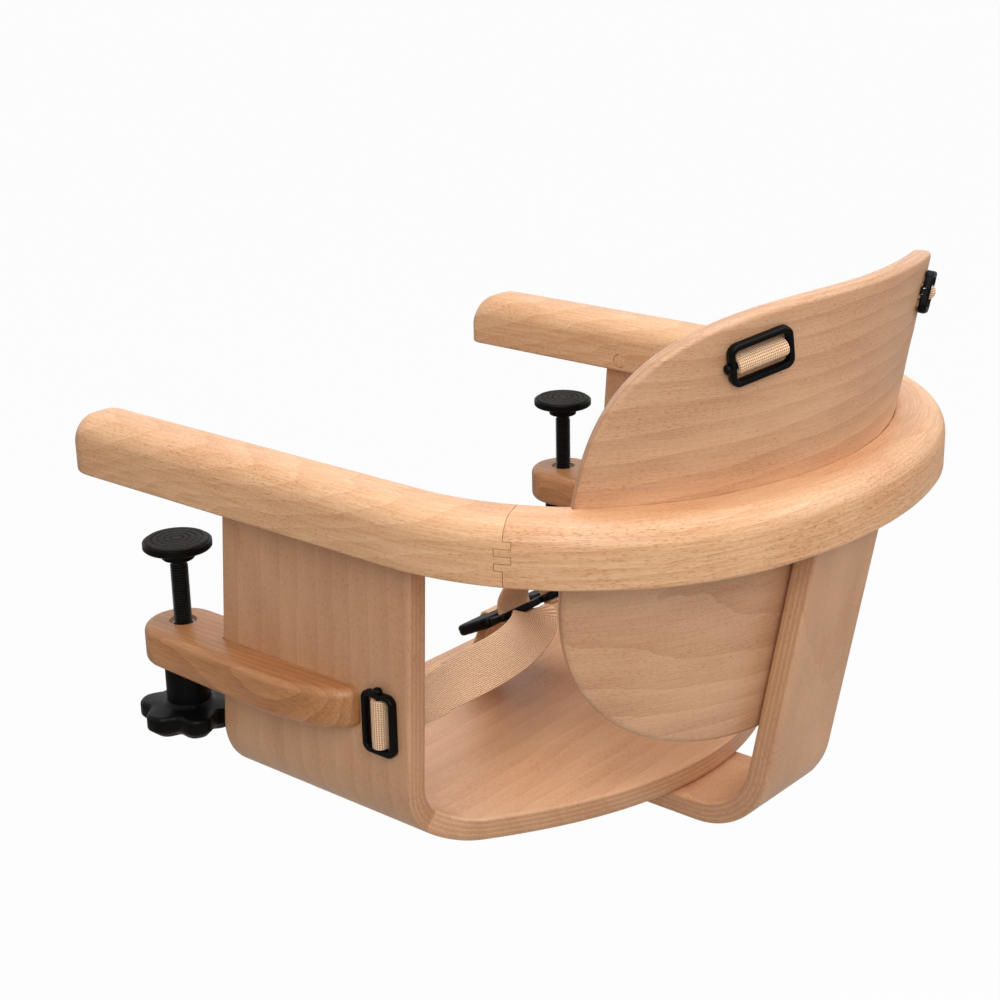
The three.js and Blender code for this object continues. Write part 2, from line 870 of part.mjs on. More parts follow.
function clampBar(side) {
  const geometry = new THREE.ExtrudeGeometry(barOutline(), {
    depth: barHeight - 2 * barEdgeRound,
    bevelThickness: barEdgeRound,
    bevelSize: barEdgeRound,
    bevelOffset: -barEdgeRound,
    bevelSegments: 2,
  });
  geometry.translate(0, 0, barTopZ - barHeight + barEdgeRound);
  const notch = block(
    [0, barNotchY, barTopZ - barHeight - overrun],
    [barFaceX, barEndY + overrun, barTopZ + overrun],
  );
  const bore = rod(
    insertDiameter / 2 + clearance, barHeight + 2 * overrun,
    [screwX, screwY, barTopZ - barHeight - overrun], [0, 0, 1], 24,
  );
  const screws = barScrewYs.map((y) => (
    screwHole(barScrewLength, [shellInnerX, y, barScrewZ], [1, 0, 0])
  ));
  const bar = cut(geometry, notch, bore, ...screws);
  return side > 0 ? bar : mirrored(bar);
}

function mirrored(geometry) {
  geometry.scale(-1, 1, 1);
  flip(geometry);
  return geometry;
}

// Outline of the star knob at a height, or a plain circle where the lobe is nothing
function knobRing(x, z, radius, lobe) {
  return spread(0, 2 * Math.PI, 8 * knobLobes).slice(1).map((angle) => {
    const reach = radius + lobe * Math.cos(knobLobes * angle);
    return [x + reach * Math.cos(angle), screwY + reach * Math.sin(angle), z];
  });
}

// Star knob, bevelled below, with its hub and the blind hole that holds the screw
function knob(x) {
  const star = loft([
    knobRing(x, knobBottomZ, knobFaceRadius, 0),
    knobRing(x, knobBottomZ, knobRadius - knobFootInset, knobLobe),
    knobRing(x, knobBottomZ + knobFootHeight, knobRadius, knobLobe),
    knobRing(x, knobTopZ - knobEdgeRound, knobRadius, knobLobe),
    knobRing(x, knobTopZ, knobRadius - knobEdgeRound, knobLobe),
    knobRing(x, knobTopZ, knobFaceRadius, 0),
  ]);
  const hub = rod(
    hubRadius, hubTopZ - knobTopZ + knobEdgeRound,
    [x, screwY, knobTopZ - knobEdgeRound], [0, 0, 1], 32,
  );
  const hole = rod(
    screwDiameter / 2 + clearance, knobGrip + overrun,
    [x, screwY, hubTopZ - knobGrip], [0, 0, 1], 24,
  );
  const solid = toManifold(star).add(toManifold(hub)).subtract(toManifold(hole));
  return fromManifold(solid);
}

// Half circle of [radius, height] pairs from one angle to another round a height on the axis
function ballProfile(radius, height, from, to, steps) {
  return spread(from, to, steps).map((angle) => [
    radius * Math.cos(radians(angle)),
    height + radius * Math.sin(radians(angle)),
  ]);
}

function clampScrewProfile() {
  const neckAngle = -THREE.MathUtils.radToDeg(Math.acos(neckRadius / ballRadius));
  const ball = ballProfile(ballRadius, ballZ, neckAngle, quarter, 5);
  ball[ball.length - 1][0] = 0;
  const neckZ = ball[0][1] - neckLength;
  const screwRadius = screwDiameter / 2;
  const endZ = hubTopZ - knobGrip + clearance;
  return [
    [0, endZ],
    [screwRadius - screwChamfer, endZ],
    [screwRadius, endZ + screwChamfer],
    [screwRadius, neckZ - screwChamfer],
    [neckRadius, neckZ],
    ...ball,
  ];
}

function footProfile() {
  const socketRadius = ballRadius + clearance;
  const mouthAngle = THREE.MathUtils.radToDeg(Math.asin((footBottomZ - ballZ) / socketRadius));
  const socket = ballProfile(socketRadius, ballZ, quarter, mouthAngle, 5);
  socket[0][0] = 0;
  const rimRadius = padRadius + clearance;
  const floorZ = -tableThickness - padThickness - clearance;
  return [
    ...socket,
    [footBossRadius, footBottomZ],
    [footBossRadius, footPlateZ],
    [footRadius, footPlateZ],
    [footRadius, footTopZ],
    [rimRadius, footTopZ],
    [rimRadius, floorZ],
    [0, floorZ],
  ];
}

for (const [label, side] of sides) {
  const x = side * screwX;
  const axis = [x, screwY, 0];
  const up = [0, 0, 1];
  addMesh(`clamp_bar_${label}`, clampBar(side), beech);
  const insertBore = screwDiameter / 2 + clearance;
  const insertTop = barTopZ - insertInset;
  const insertBottom = barTopZ - barHeight + clearance;
  addMesh(`threaded_insert_${label}`, turned([
    [insertBore, insertBottom],
    [insertDiameter / 2, insertBottom],
    [insertDiameter / 2, insertTop],
    [insertBore, insertTop],
    [insertBore, insertBottom],
  ], axis, up), zincSteel);
  addMesh(`clamp_screw_${label}`, turned(clampScrewProfile(), axis, up), blackSteel);
  addMesh(`clamp_foot_${label}`, turned(footProfile(), axis, up, 32), blackPlastic);
  addMesh(`foot_pad_${label}`, rod(
    padRadius, padThickness, [x, screwY, -tableThickness - padThickness], up, 32,
  ), rubber);
  addMesh(`clamp_knob_${label}`, knob(x), blackPlastic);
  barScrewYs.forEach((y, i) => {
    const end = ['front', 'rear'][i];
    const start = [side * shellInnerX, y, barScrewZ];
    flatHeadScrew(`bar_screw_${end}_${label}`, barScrewLength, start, [side, 0, 0]);
  });
}

// Rings and pins of the retainers

// Rounded rectangle about the origin, its sides cut into short straight lines
function roundedRectangle(halfWidth, halfHeight, corner) {
  const corners = [[1, 1], [-1, 1], [-1, -1], [1, -1]];
  return corners.flatMap(([sx, sy], i) => (
    spread(i * quarter, (i + 1) * quarter, 3).map((angle) => new THREE.Vector2(
      sx * (halfWidth - corner) + corner * Math.cos(radians(angle)),
      sy * (halfHeight - corner) + corner * Math.sin(radians(angle)),
    ))
  ));
}

function addRetainer(name, place) {
  const outline = new THREE.Shape(roundedRectangle(ringLength / 2, ringWidth / 2, ringCorner));
  outline.holes.push(new THREE.Path(roundedRectangle(
    ringLength / 2 - ringRim, ringWidth / 2 - ringSideRim, ringCorner - ringRim,
  )));
  const ring = new THREE.ExtrudeGeometry(outline, {
    depth: ringThickness - 2 * ringEdgeRound,
    bevelThickness: ringEdgeRound,
    bevelSize: ringEdgeRound,
    bevelOffset: -ringEdgeRound,
    bevelSegments: 1,
  });
  ring.translate(0, 0, clearance + ringEdgeRound);
  const pinLength = ringLength + 2 * pinOverhang;
  const groove = rod(
    pinRadius + clearance, pinLength, [-pinLength / 2, 0, pinAxisHeight], [1, 0, 0], 14,
  );
  addMesh(`${name}_ring`, placed(cut(ring, groove), place), blackPlastic);
  const round = pinRadius / 3;
  addMesh(`${name}_pin`, placed(turned([
    [0, 0],
    [pinRadius - round, 0],
    [pinRadius, round],
    [pinRadius, pinLength - round],
    [pinRadius - round, pinLength],
    [0, pinLength],
  ], [-pinLength / 2, 0, pinAxisHeight], [1, 0, 0], 12), place), blackPlastic);
}

for (const [label, side] of sides) {
  addRetainer(`side_retainer_${label}`, sideRetainer(side));
  addRetainer(`back_retainer_${label}`, backRetainer(side));
}
addRetainer('crotch_retainer', crotchRetainer);

// Buckle: a housing with a bar for the crotch strap in front, and two tongues in its rear edge

const buckleDown = radians(buckleTilt);
const bucklePlace = placeOn(
  [buckleX, buckleY, buckleZ],
  new THREE.Vector3(1, 0, 0),
  new THREE.Vector3(0, -Math.sin(buckleDown), Math.cos(buckleDown)),
);

function roundedPlate(width, height, thickness, corner, round) {
  const outline = new THREE.Shape(roundedRectangle(width / 2, height / 2, corner));
  const plate = new THREE.ExtrudeGeometry(outline, {
    depth: thickness - 2 * round,
    bevelThickness: round,
    bevelSize: round,
    bevelOffset: -round,
    bevelSegments: 1,
  });
  plate.translate(0, 0, round - thickness / 2);
  return plate;
}

const buckleBarY = buckleBarInset - buckleFront;
const tongueBarY = buckleRear + clearance + tongueDepth - tongueBar;
const notchHalfLength = webWidth / 2 + 2 * clearance;

function buckleHousing() {
  const box = roundedPlate(
    buckleLength, buckleFront + buckleRear, buckleThickness, buckleCorner, buckleRound,
  );
  box.translate(0, (buckleRear - buckleFront) / 2, 0);
  const notch = block(
    [-notchHalfLength, -2 * buckleFront, -buckleThickness],
    [notchHalfLength, buckleNotch - buckleFront, buckleThickness],
  );
  const sockets = sides.map(([, side]) => plugBlock(side, clearance));
  const barReach = notchHalfLength + overrun;
  const bar = rod(
    buckleBarRadius, 2 * barReach, [-barReach, buckleBarY, 0], [1, 0, 0], 14,
  );
  const solid = toManifold(cut(box, notch, ...sockets)).add(toManifold(bar));
  return placed(fromManifold(solid), bucklePlace);
}

// Plug of a tongue, or the socket for it when it is grown by the clearance
function plugBlock(side, grow) {
  const centre = side * tongueCentre;
  const halfWidth = plugWidth / 2 + grow;
  const halfThickness = tongueThickness / 2 + grow;
  return block(
    [centre - halfWidth, buckleRear - plugLength - grow, -halfThickness],
    [centre + halfWidth, buckleRear + overrun, halfThickness],
  );
}

function tongue(side) {
  const centre = side * tongueCentre;
  const plate = roundedPlate(
    tongueWidth, tongueDepth, tongueThickness, tongueCorner, tongueRound,
  );
  plate.translate(centre, buckleRear + clearance + tongueDepth / 2, 0);
  const window = block(
    [centre - notchHalfLength, tongueBarY - tongueWindow, -tongueThickness],
    [centre + notchHalfLength, tongueBarY, tongueThickness],
  );
  const solid = toManifold(plate).add(toManifold(plugBlock(side, 0)));
  return placed(fromManifold(solid.subtract(toManifold(window))), bucklePlace);
}

addMesh('buckle_housing', buckleHousing(), blackPlastic);
for (const [label, side] of sides) {
  addMesh(`buckle_tongue_${label}`, tongue(side), blackPlastic);
}

// Webbing: a flat strip along a row of places, each a point and the direction of the width

function local(place, x, y, z) {
  return new THREE.Vector3(x, y, z).applyMatrix4(place);
}

function directionIn(place, x, y, z) {
  return new THREE.Vector3(x, y, z).transformDirection(place);
}

// Frame of the webbing at one of its stations
function webFrame(stations, i) {
  const before = stations[Math.max(i - 1, 0)].point;
  const after = stations[Math.min(i + 1, stations.length - 1)].point;
  const along = after.clone().sub(before).normalize();
  const { point, wide } = stations[i];
  const across = wide.clone().addScaledVector(along, -wide.dot(along)).normalize();
  return { point, across, face: new THREE.Vector3().crossVectors(along, across) };
}

function strip(stations) {
  const corners = [[1, 1], [-1, 1], [-1, -1], [1, -1]];
  return loft(stations.map((_, i) => {
    const { point, across, face } = webFrame(stations, i);
    return corners.map(([w, t]) => (
      point.clone()
        .addScaledVector(across, (w * webWidth) / 2)
        .addScaledVector(face, (t * webThickness) / 2)
        .toArray()
    ));
  }));
}

// Smooth run through places, at nearly even steps
function smoothRun(places, steps) {
  const points = new THREE.CatmullRomCurve3(places.map(({ point }) => point));
  const widths = new THREE.CatmullRomCurve3(places.map(({ wide }) => wide), false, 'catmullrom');
  return spread(0, 1, steps).map((t) => ({
    point: points.getPoint(t),
    wide: widths.getPoint(t).normalize(),
  }));
}

// Half turn of webbing over a round bar, whose axis is the place's x axis
function halfTurn(place, radius, height, from, wide) {
  return spread(0, 2 * quarter, 8).map((angle) => ({
    point: local(
      place, 0, from * radius * Math.cos(radians(angle)),
      height + radius * Math.sin(radians(angle)),
    ),
    wide,
  }));
}

// End of the webbing beyond a loop: it closes up to the run that it is sewn to.
function sewnTail(run, legGap, legLength, towards) {
  const tail = [];
  let length = 0;
  for (let i = 0; i < run.length && length < legLength + tailLength; i++) {
    length += i > 0 ? run[i].point.distanceTo(run[i - 1].point) : 0;
    const { point, face } = webFrame(run, i);
    const sign = Math.sign(i === 0 ? face.dot(towards) : face.dot(tail.face));
    tail.face = face.multiplyScalar(sign);
    const closing = THREE.MathUtils.smoothstep(length, legLength, legLength + tailLength / 2);
    const gap = THREE.MathUtils.lerp(legGap, webThickness + seamGap, closing);
    tail.push({ point: point.clone().addScaledVector(tail.face, gap), wide: run[i].wide });
  }
  return tail;
}

// Straight leg of webbing through the slot of a retainer
function slotLeg(place, side, ply, wide) {
  return spread(pinAxisHeight, -ply - 2 * overrun, 3).slice(1).map((height) => ({
    point: local(place, 0, side * pinLoopRadius, height),
    wide,
  }));
}

const pinLoopRadius = pinRadius + clearance + webThickness / 2;
const barLoopRadius = buckleBarRadius + clearance + webThickness / 2;
const turnRadius = 2 * clearance + webThickness / 2;

// Harness strap: from the side retainer under the tongue's rear bar, up through its window and
// on to the back retainer. It turns over on the way, from upright to lying along the window.
function harnessStrap(side) {
  const start = sideRetainer(side);
  const finish = backRetainer(side);
  const upright = new THREE.Vector3(0, 0, 1);
  const flat = new THREE.Vector3(side, 0, 0);
  const outward = directionIn(finish, side, 0, 0);
  const onBuckle = (y, z) => local(bucklePlace, side * tongueCentre, y, z);
  const under = -tongueThickness / 2;
  const window = onBuckle(tongueBarY - turnRadius, 0);
  const arrival = local(finish, 0, shoulderDrop, -backPly - shoulderReach);
  const stretch = arrival.clone().sub(window);

  const waistLeg = slotLeg(start, side, shellPly, upright);
  const slotEnd = waistLeg[waistLeg.length - 1].point;
  const approach = onBuckle(tongueBarY + waistApproach, under - webThickness);
  const waist = [
    { point: slotEnd, wide: upright },
    ...waistShares.map(([x, y, sag, wideX, wideY, wideZ]) => ({
      point: new THREE.Vector3(
        THREE.MathUtils.lerp(slotEnd.x, approach.x, x),
        THREE.MathUtils.lerp(slotEnd.y, approach.y, y),
        THREE.MathUtils.lerp(slotEnd.z, approach.z, x) - sag * waistSag,
      ),
      wide: new THREE.Vector3(side * wideX, wideY, wideZ).normalize(),
    })),
    { point: approach, wide: flat },
    { point: onBuckle(tongueBarY + tongueBar, under - turnRadius - clearance), wide: flat },
    { point: onBuckle(tongueBarY, under - turnRadius), wide: flat },
  ];
  const corner = spread(quarter / 3, quarter, 2).map((angle) => ({
    point: onBuckle(
      tongueBarY - turnRadius * Math.sin(radians(angle)),
      under - turnRadius * Math.cos(radians(angle)),
    ),
    wide: flat,
  }));
  const shoulderLeg = slotLeg(finish, 1, backPly, outward).reverse();
  const rise = shoulderShares.map(([x, y, z, turn]) => ({
    point: new THREE.Vector3(x, y, z).multiply(stretch).add(window),
    wide: flat.clone().lerp(outward, turn).normalize(),
  }));
  const shoulder = [
    { point: window, wide: flat },
    { point: onBuckle(tongueBarY - turnRadius, webThickness - under), wide: flat },
    ...rise,
    { point: arrival, wide: outward },
    ...shoulderLeg.slice(0, 1),
  ];
  const run = [
    ...waistLeg.slice(0, -1), ...smoothRun(waist, 32), ...corner,
    ...smoothRun(shoulder, 28), ...shoulderLeg.slice(1),
  ];
  const firstTail = sewnTail(
    run, 2 * pinLoopRadius, shellPly, directionIn(start, 0, -side, 0),
  );
  const lastTail = sewnTail(
    run.slice().reverse(), 2 * pinLoopRadius, backPly, directionIn(finish, 0, -1, 0),
  );
  return strip([
    ...firstTail.slice().reverse(),
    ...halfTurn(start, pinLoopRadius, pinAxisHeight, -side, upright),
    ...run,
    ...halfTurn(finish, pinLoopRadius, pinAxisHeight, 1, outward),
    ...lastTail,
  ]);
}

// Crotch strap: from the retainer under the seat to the bar of the buckle.
// Its two sewn tails are shortened by some stations, so that they end before they meet.
const crotchTrim = 6;

function crotchStrap() {
  const wide = new THREE.Vector3(1, 0, 0);
  const bar = local(bucklePlace, 0, buckleBarY, 0);
  const foot = new THREE.Vector3(0, crotchRetainerY, shellBottomZ + shellPly);
  const lean = bar.clone().sub(foot).setX(0).normalize();
  const barPlace = placeOn(bar.toArray(), wide, lean);
  const leg = slotLeg(crotchRetainer, 1, shellPly, wide);
  const last = leg[leg.length - 1];
  const top = spread(-webWidth / 2, 0, 2).map((height) => ({
    point: local(barPlace, 0, -barLoopRadius, height),
    wide,
  }));
  const middle = last.point.clone().lerp(top[0].point, 0.5);
  const run = [
    ...leg.slice(0, -1),
    ...smoothRun([last, { point: middle, wide }, ...top], 12),
  ];
  const firstTail = sewnTail(run, 2 * pinLoopRadius, shellPly, directionIn(crotchRetainer, 0, -1, 0));
  const lastTail = sewnTail(
    run.slice().reverse(), 2 * barLoopRadius, 2 * overrun, directionIn(barPlace, 0, 1, 0),
  );
  return strip([
    ...firstTail.slice(0, -crotchTrim).reverse(),
    ...halfTurn(crotchRetainer, pinLoopRadius, pinAxisHeight, -1, wide),
    ...run,
    ...halfTurn(barPlace, barLoopRadius, 0, -1, wide),
    ...lastTail.slice(0, -crotchTrim),
  ]);
}

for (const [label, side] of sides) {
  addMesh(`harness_strap_${label}`, harnessStrap(side), webbing);
}
addMesh('crotch_strap', crotchStrap(), webbing);

export default part;
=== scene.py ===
# %% [markdown]
# # A hook-on table chair in beech and moulded plywood
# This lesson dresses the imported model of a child's chair that clamps to a table edge.
# The frame comes in first and never moves: every later piece takes its place from the same sizes.
# Work is in millimetres, as on a maker's drawing, and turns into metres where a mesh is made.

# %% The frame
import math

import bpy
import numpy as np
from mathutils import Matrix, Vector


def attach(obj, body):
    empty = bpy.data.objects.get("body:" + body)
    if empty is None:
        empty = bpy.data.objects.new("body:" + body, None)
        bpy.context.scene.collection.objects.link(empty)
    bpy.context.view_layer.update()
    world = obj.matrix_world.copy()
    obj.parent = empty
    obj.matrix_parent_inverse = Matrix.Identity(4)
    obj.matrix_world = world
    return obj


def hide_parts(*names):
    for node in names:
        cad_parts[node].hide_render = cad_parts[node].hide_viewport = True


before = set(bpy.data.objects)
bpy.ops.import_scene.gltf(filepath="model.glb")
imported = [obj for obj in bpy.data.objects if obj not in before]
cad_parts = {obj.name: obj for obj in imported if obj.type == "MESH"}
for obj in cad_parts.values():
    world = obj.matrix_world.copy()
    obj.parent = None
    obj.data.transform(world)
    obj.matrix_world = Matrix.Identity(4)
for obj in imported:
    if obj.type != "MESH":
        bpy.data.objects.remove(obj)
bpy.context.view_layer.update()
MM = 0.001

# %% [markdown]
# ## Camera and light
# The photograph looks down at the chair from behind its left side, so the lens and place come from
# a camera fitted to the arms, the bow and the table edge. Nothing is shifted and nothing is blurred.
# A camera can be aimed with a constraint, but here its three axes are written as a matrix, because
# the photograph was also rolled by about a degree.

# %% Camera
CAMERA_PLACE = (0.806, 0.738, 0.337)
SENSOR, FOCAL_IN_WIDTHS = 36, 1.943
TURN, RISE, ROLL = map(math.radians, (130.67, 19.44, -1.17))

back = Vector((math.sin(TURN) * math.cos(RISE), -math.cos(TURN) * math.cos(RISE), math.sin(RISE)))
level = (-back).cross(Vector((0, 0, 1))).normalized()
above = level.cross(-back)
right = level * math.cos(ROLL) + above * math.sin(ROLL)
up = above * math.cos(ROLL) - level * math.sin(ROLL)
camera = bpy.data.objects.new("camera", bpy.data.cameras.new("camera"))
camera.data.sensor_width = SENSOR
camera.data.lens = SENSOR * FOCAL_IN_WIDTHS
camera.matrix_world = Matrix.Translation(CAMERA_PLACE) @ Matrix((right, up, back)).transposed().to_4x4()
bpy.context.scene.collection.objects.link(camera)
bpy.context.scene.camera = camera
bpy.context.scene.view_settings.view_transform = "Standard"
print("lens", round(camera.data.lens, 2), "mm")

# %% [markdown]
# Two helpers come before any finish. The first turns the sRGB colours that people read off a
# picture into the linear numbers that light is computed with. The second adds one node with its
# settings and links, so that each finish below reads as a short list. An input can be a value, a
# socket or a whole node, and a node stands for the first output that it has in use.

# %% Colour and node helpers
def linear(hex_colour):
    channels = [int(hex_colour[i:i + 2], 16) / 255 for i in (1, 3, 5)]
    return (*[c / 12.92 if c <= 0.04045 else ((c + 0.055) / 1.055) ** 2.4 for c in channels], 1)


def add_node(tree, kind, inputs, **settings):
    node = tree.nodes.new("ShaderNode" + kind)
    for name, value in settings.items():
        setattr(node, name, value)
    for name, value in inputs.items():
        if isinstance(value, bpy.types.Node):
            value = next(socket for socket in value.outputs if socket.enabled)
        if isinstance(value, bpy.types.NodeSocket):
            tree.links.new(value, node.inputs[name])
        else:
            node.inputs[name].default_value = value
    return node


def empty_tree(owner):
    owner.use_nodes = True
    owner.node_tree.nodes.clear()
    return owner.node_tree


def new_material(name):
    material = bpy.data.materials.new(name)
    return material, empty_tree(material)


print("pale wood #dcae82 is", [round(c, 3) for c in linear("#dcae82")[:3]])

# %% [markdown]
# The studio is plain: a broad lamp overhead, one behind the chair, one on the camera's side and a
# soft sky. The white ground of a product picture is made by what only the camera and reflections
# see, not by more light, so the wood keeps its own colour.

# %% Sky
world = bpy.data.worlds.new("studio sky")
bpy.context.scene.world = world
tree = empty_tree(world)
seen_by = add_node(tree, "LightPath", {}).outputs
shown = add_node(tree, "Math", {0: seen_by["Is Camera Ray"], 1: seen_by["Is Glossy Ray"]},
                 operation="MAXIMUM")
shown = add_node(tree, "Math", {0: shown, 1: seen_by["Is Transmission Ray"]}, operation="MAXIMUM")
soft = add_node(tree, "Background", {"Color": linear("#fffaf4"), "Strength": 0.32})
white = add_node(tree, "Background", {"Color": (1, 1, 1, 1), "Strength": 1.0})
both = add_node(tree, "MixShader", {0: shown, 1: soft, 2: white})
add_node(tree, "OutputWorld", {"Surface": both})
print("sky strength", soft.inputs["Strength"].default_value)

# %% Lamps
LAMPS = {
    "overhead softbox": ((-0.1, 0.2, 1.5), (0, 0.1, 0), 1.5, 20),
    "rear softbox": ((-0.9, 1.5, 0.7), (0, 0.2, -0.05), 1.0, 8),
    "side softbox": ((1.15, 1.15, 0.95), (0.05, 0.1, 0.02), 1.1, 16),
}
for name, (place, target, size, power) in LAMPS.items():
    lamp = bpy.data.objects.new(name, bpy.data.lights.new(name, "AREA"))
    lamp.data.shape = "DISK"
    lamp.data.size = size
    lamp.data.energy = power
    lamp.location = place
    lamp.rotation_euler = (Vector(place) - Vector(target)).to_track_quat("Z", "Y").to_euler()
    bpy.context.scene.collection.objects.link(lamp)
print("lamps:", len(LAMPS))

# %% [markdown]
# ## Meshes from rings
# Most pieces are skins over a row of closed rings, like the ribs of a boat. It is quicker to
# control than pushing points by hand, and the rings come from the same sizes as the solids.

# %% Skin over rings
def skin(rings, wrap=False):
    rings = [np.asarray(ring, float) for ring in rings]
    count = len(rings[0])
    points = np.concatenate(rings)
    faces = []
    last = len(rings) if wrap else len(rings) - 1
    for i in range(last):
        low, high = i * count, (i + 1) % len(rings) * count
        for j in range(count):
            k = (j + 1) % count
            faces.append((low + j, low + k, high + k, high + j))
    if not wrap:
        top = (len(rings) - 1) * count
        faces.append(tuple(range(count))[::-1])
        faces.append(tuple(range(top, top + count)))
    return points, faces


print("skin of two square rings:", len(skin(np.zeros((2, 4, 3)))[1]), "faces")

# %% Making a piece
def volume_of(points, faces):
    total = 0.0
    for face in faces:
        for i in range(1, len(face) - 1):
            total += np.dot(points[face[0]], np.cross(points[face[i]], points[face[i + 1]]))
    return total / 6


def make_piece(name, points, faces, sharp=32):
    points = np.asarray(points, float)
    if volume_of(points, faces) < 0:
        faces = [face[::-1] for face in faces]
    mesh = bpy.data.meshes.new(name)
    mesh.from_pydata([tuple(point) for point in points * MM], [], faces)
    mesh.shade_smooth()
    mesh.set_sharp_from_angle(angle=math.radians(sharp))
    piece = bpy.data.objects.new(name, mesh)
    bpy.context.scene.collection.objects.link(piece)
    return piece


def arc(start, end, steps):
    return np.radians(np.linspace(start, end, steps + 1))


print("a quarter turn in two steps:", np.round(arc(0, 90, 2), 3))

# %% [markdown]
# Holes, slots and joints are cut as a joiner cuts them, with a tool shape taken away from the
# blank. Blender's Boolean modifier does it, and the result is written back at once, so the tools
# can go. After a cut the blank's edges are marked sharp again by their angle.

# %% Cutting
def cut_away(piece, *tools, sharp=32):
    for tool in tools:
        modifier = piece.modifiers.new("cut", "BOOLEAN")
        modifier.object = tool
        modifier.solver = "EXACT"
    shown = piece.evaluated_get(bpy.context.evaluated_depsgraph_get())
    mesh = bpy.data.meshes.new_from_object(shown)
    piece.modifiers.clear()
    old, piece.data = piece.data, mesh
    bpy.data.meshes.remove(old)
    for tool in tools:
        bpy.data.meshes.remove(tool.data)
    mesh.shade_smooth()
    mesh.set_sharp_from_angle(angle=math.radians(sharp))
    return piece


def box_tool(low, high, place=None):
    low, high = np.array(low, float), np.array(high, float)
    corners = [low + (high - low) * np.array(c) for c in
               ((0, 0, 0), (1, 0, 0), (1, 1, 0), (0, 1, 0), (0, 0, 1), (1, 0, 1), (1, 1, 1), (0, 1, 1))]
    points = at_place(place, corners) if place is not None else np.array(corners)
    return make_piece("tool", *skin([points[:4], points[4:]]))

# %% Places and turned shapes
def at_place(place, points):
    points = np.atleast_2d(np.asarray(points, float))
    return points @ place[:3, :3].T + place[:3, 3]


def place_on(point, along, out):
    z = np.asarray(out, float) / np.linalg.norm(out)
    x = np.asarray(along, float) - z * np.dot(along, z)
    x /= np.linalg.norm(x)
    place = np.eye(4)
    place[:3, :3] = np.array([x, np.cross(z, x), z]).T
    place[:3, 3] = point
    return place


def turn(profile, place, steps=48):
    """Rings of a lathe-turned piece: each pair is a radius and a height along the place's z."""
    angles = np.linspace(0, 2 * math.pi, steps, endpoint=False)
    around = np.stack([np.cos(angles), np.sin(angles), np.zeros(steps)], 1)
    return [at_place(place, around * max(radius, 0.01) + [0, 0, height]) for radius, height in profile]


def turned_piece(name, profile, place, steps=48):
    return make_piece(name, *skin(turn(profile, place, steps)))


def mirror(points, faces):
    return np.asarray(points) * [-1, 1, 1], [face[::-1] for face in faces]


print("points on a turned ring:", len(turn([(5, 0)], np.eye(4))[0]))

# %% [markdown]
# Each finished piece gets the finish it takes and rides on one body of the chair, and the solids
# that it stands for are hidden. The wood also needs to know where it lies in its plank, because
# grain follows the bend of a steamed rail and not the axes of the room. That is stored on
# the mesh as a vector in millimetres: along the grain, across it, and deep into the sheet.

# %% Finishing a piece
SIDES = ((1, "left"), (-1, "right"))


def dress(piece, material, slot, body, *nodes):
    piece.data.materials.clear()
    piece.data.materials.append(material)
    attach(piece, body)
    if nodes:
        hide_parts(*nodes)
    return piece


def lay_grain(piece, grain_of):
    mesh = piece.data
    flat = np.empty(len(mesh.vertices) * 3, np.float32)
    mesh.vertices.foreach_get("co", flat)
    values = np.asarray(grain_of(flat.reshape(-1, 3) / MM), np.float32)
    mesh.attributes.new("grain", "FLOAT_VECTOR", "POINT").data.foreach_set("vector", values.ravel())


print("sides:", [label for _, label in SIDES])

# %% [markdown]
# ## Finish: clear-lacquered beech
# Beech is a pale pinkish-tan wood with soft growth rings and many short dark flecks, the ends of
# its rays, about half a millimetre wide and a few long. A thin matt lacquer leaves it smooth with
# a low sheen. The rings are drawn as a wave of spheres cut by the plank, which gives the arches of
# a flat-sawn face, and the flecks as noise stretched along the grain.

# %% Beech
# Length, width and depth in the plank, in millimetres. Real pores are a tenth of a millimetre wide,
# too fine to show, so their streaks are drawn wider. The wave texture repeats every 0.314 units
RAY_SIZE, PORE_SIZE, DRIFT_SIZE = (2.4, 0.38, 0.55), (26, 0.8, 1.1), (90, 30, 30)
WAVE_REPEAT = 0.314
FLECK_COLOUR, END_VENEER, GLUE_COLOUR = "#a8683c", "#a37552", "#7c5138"


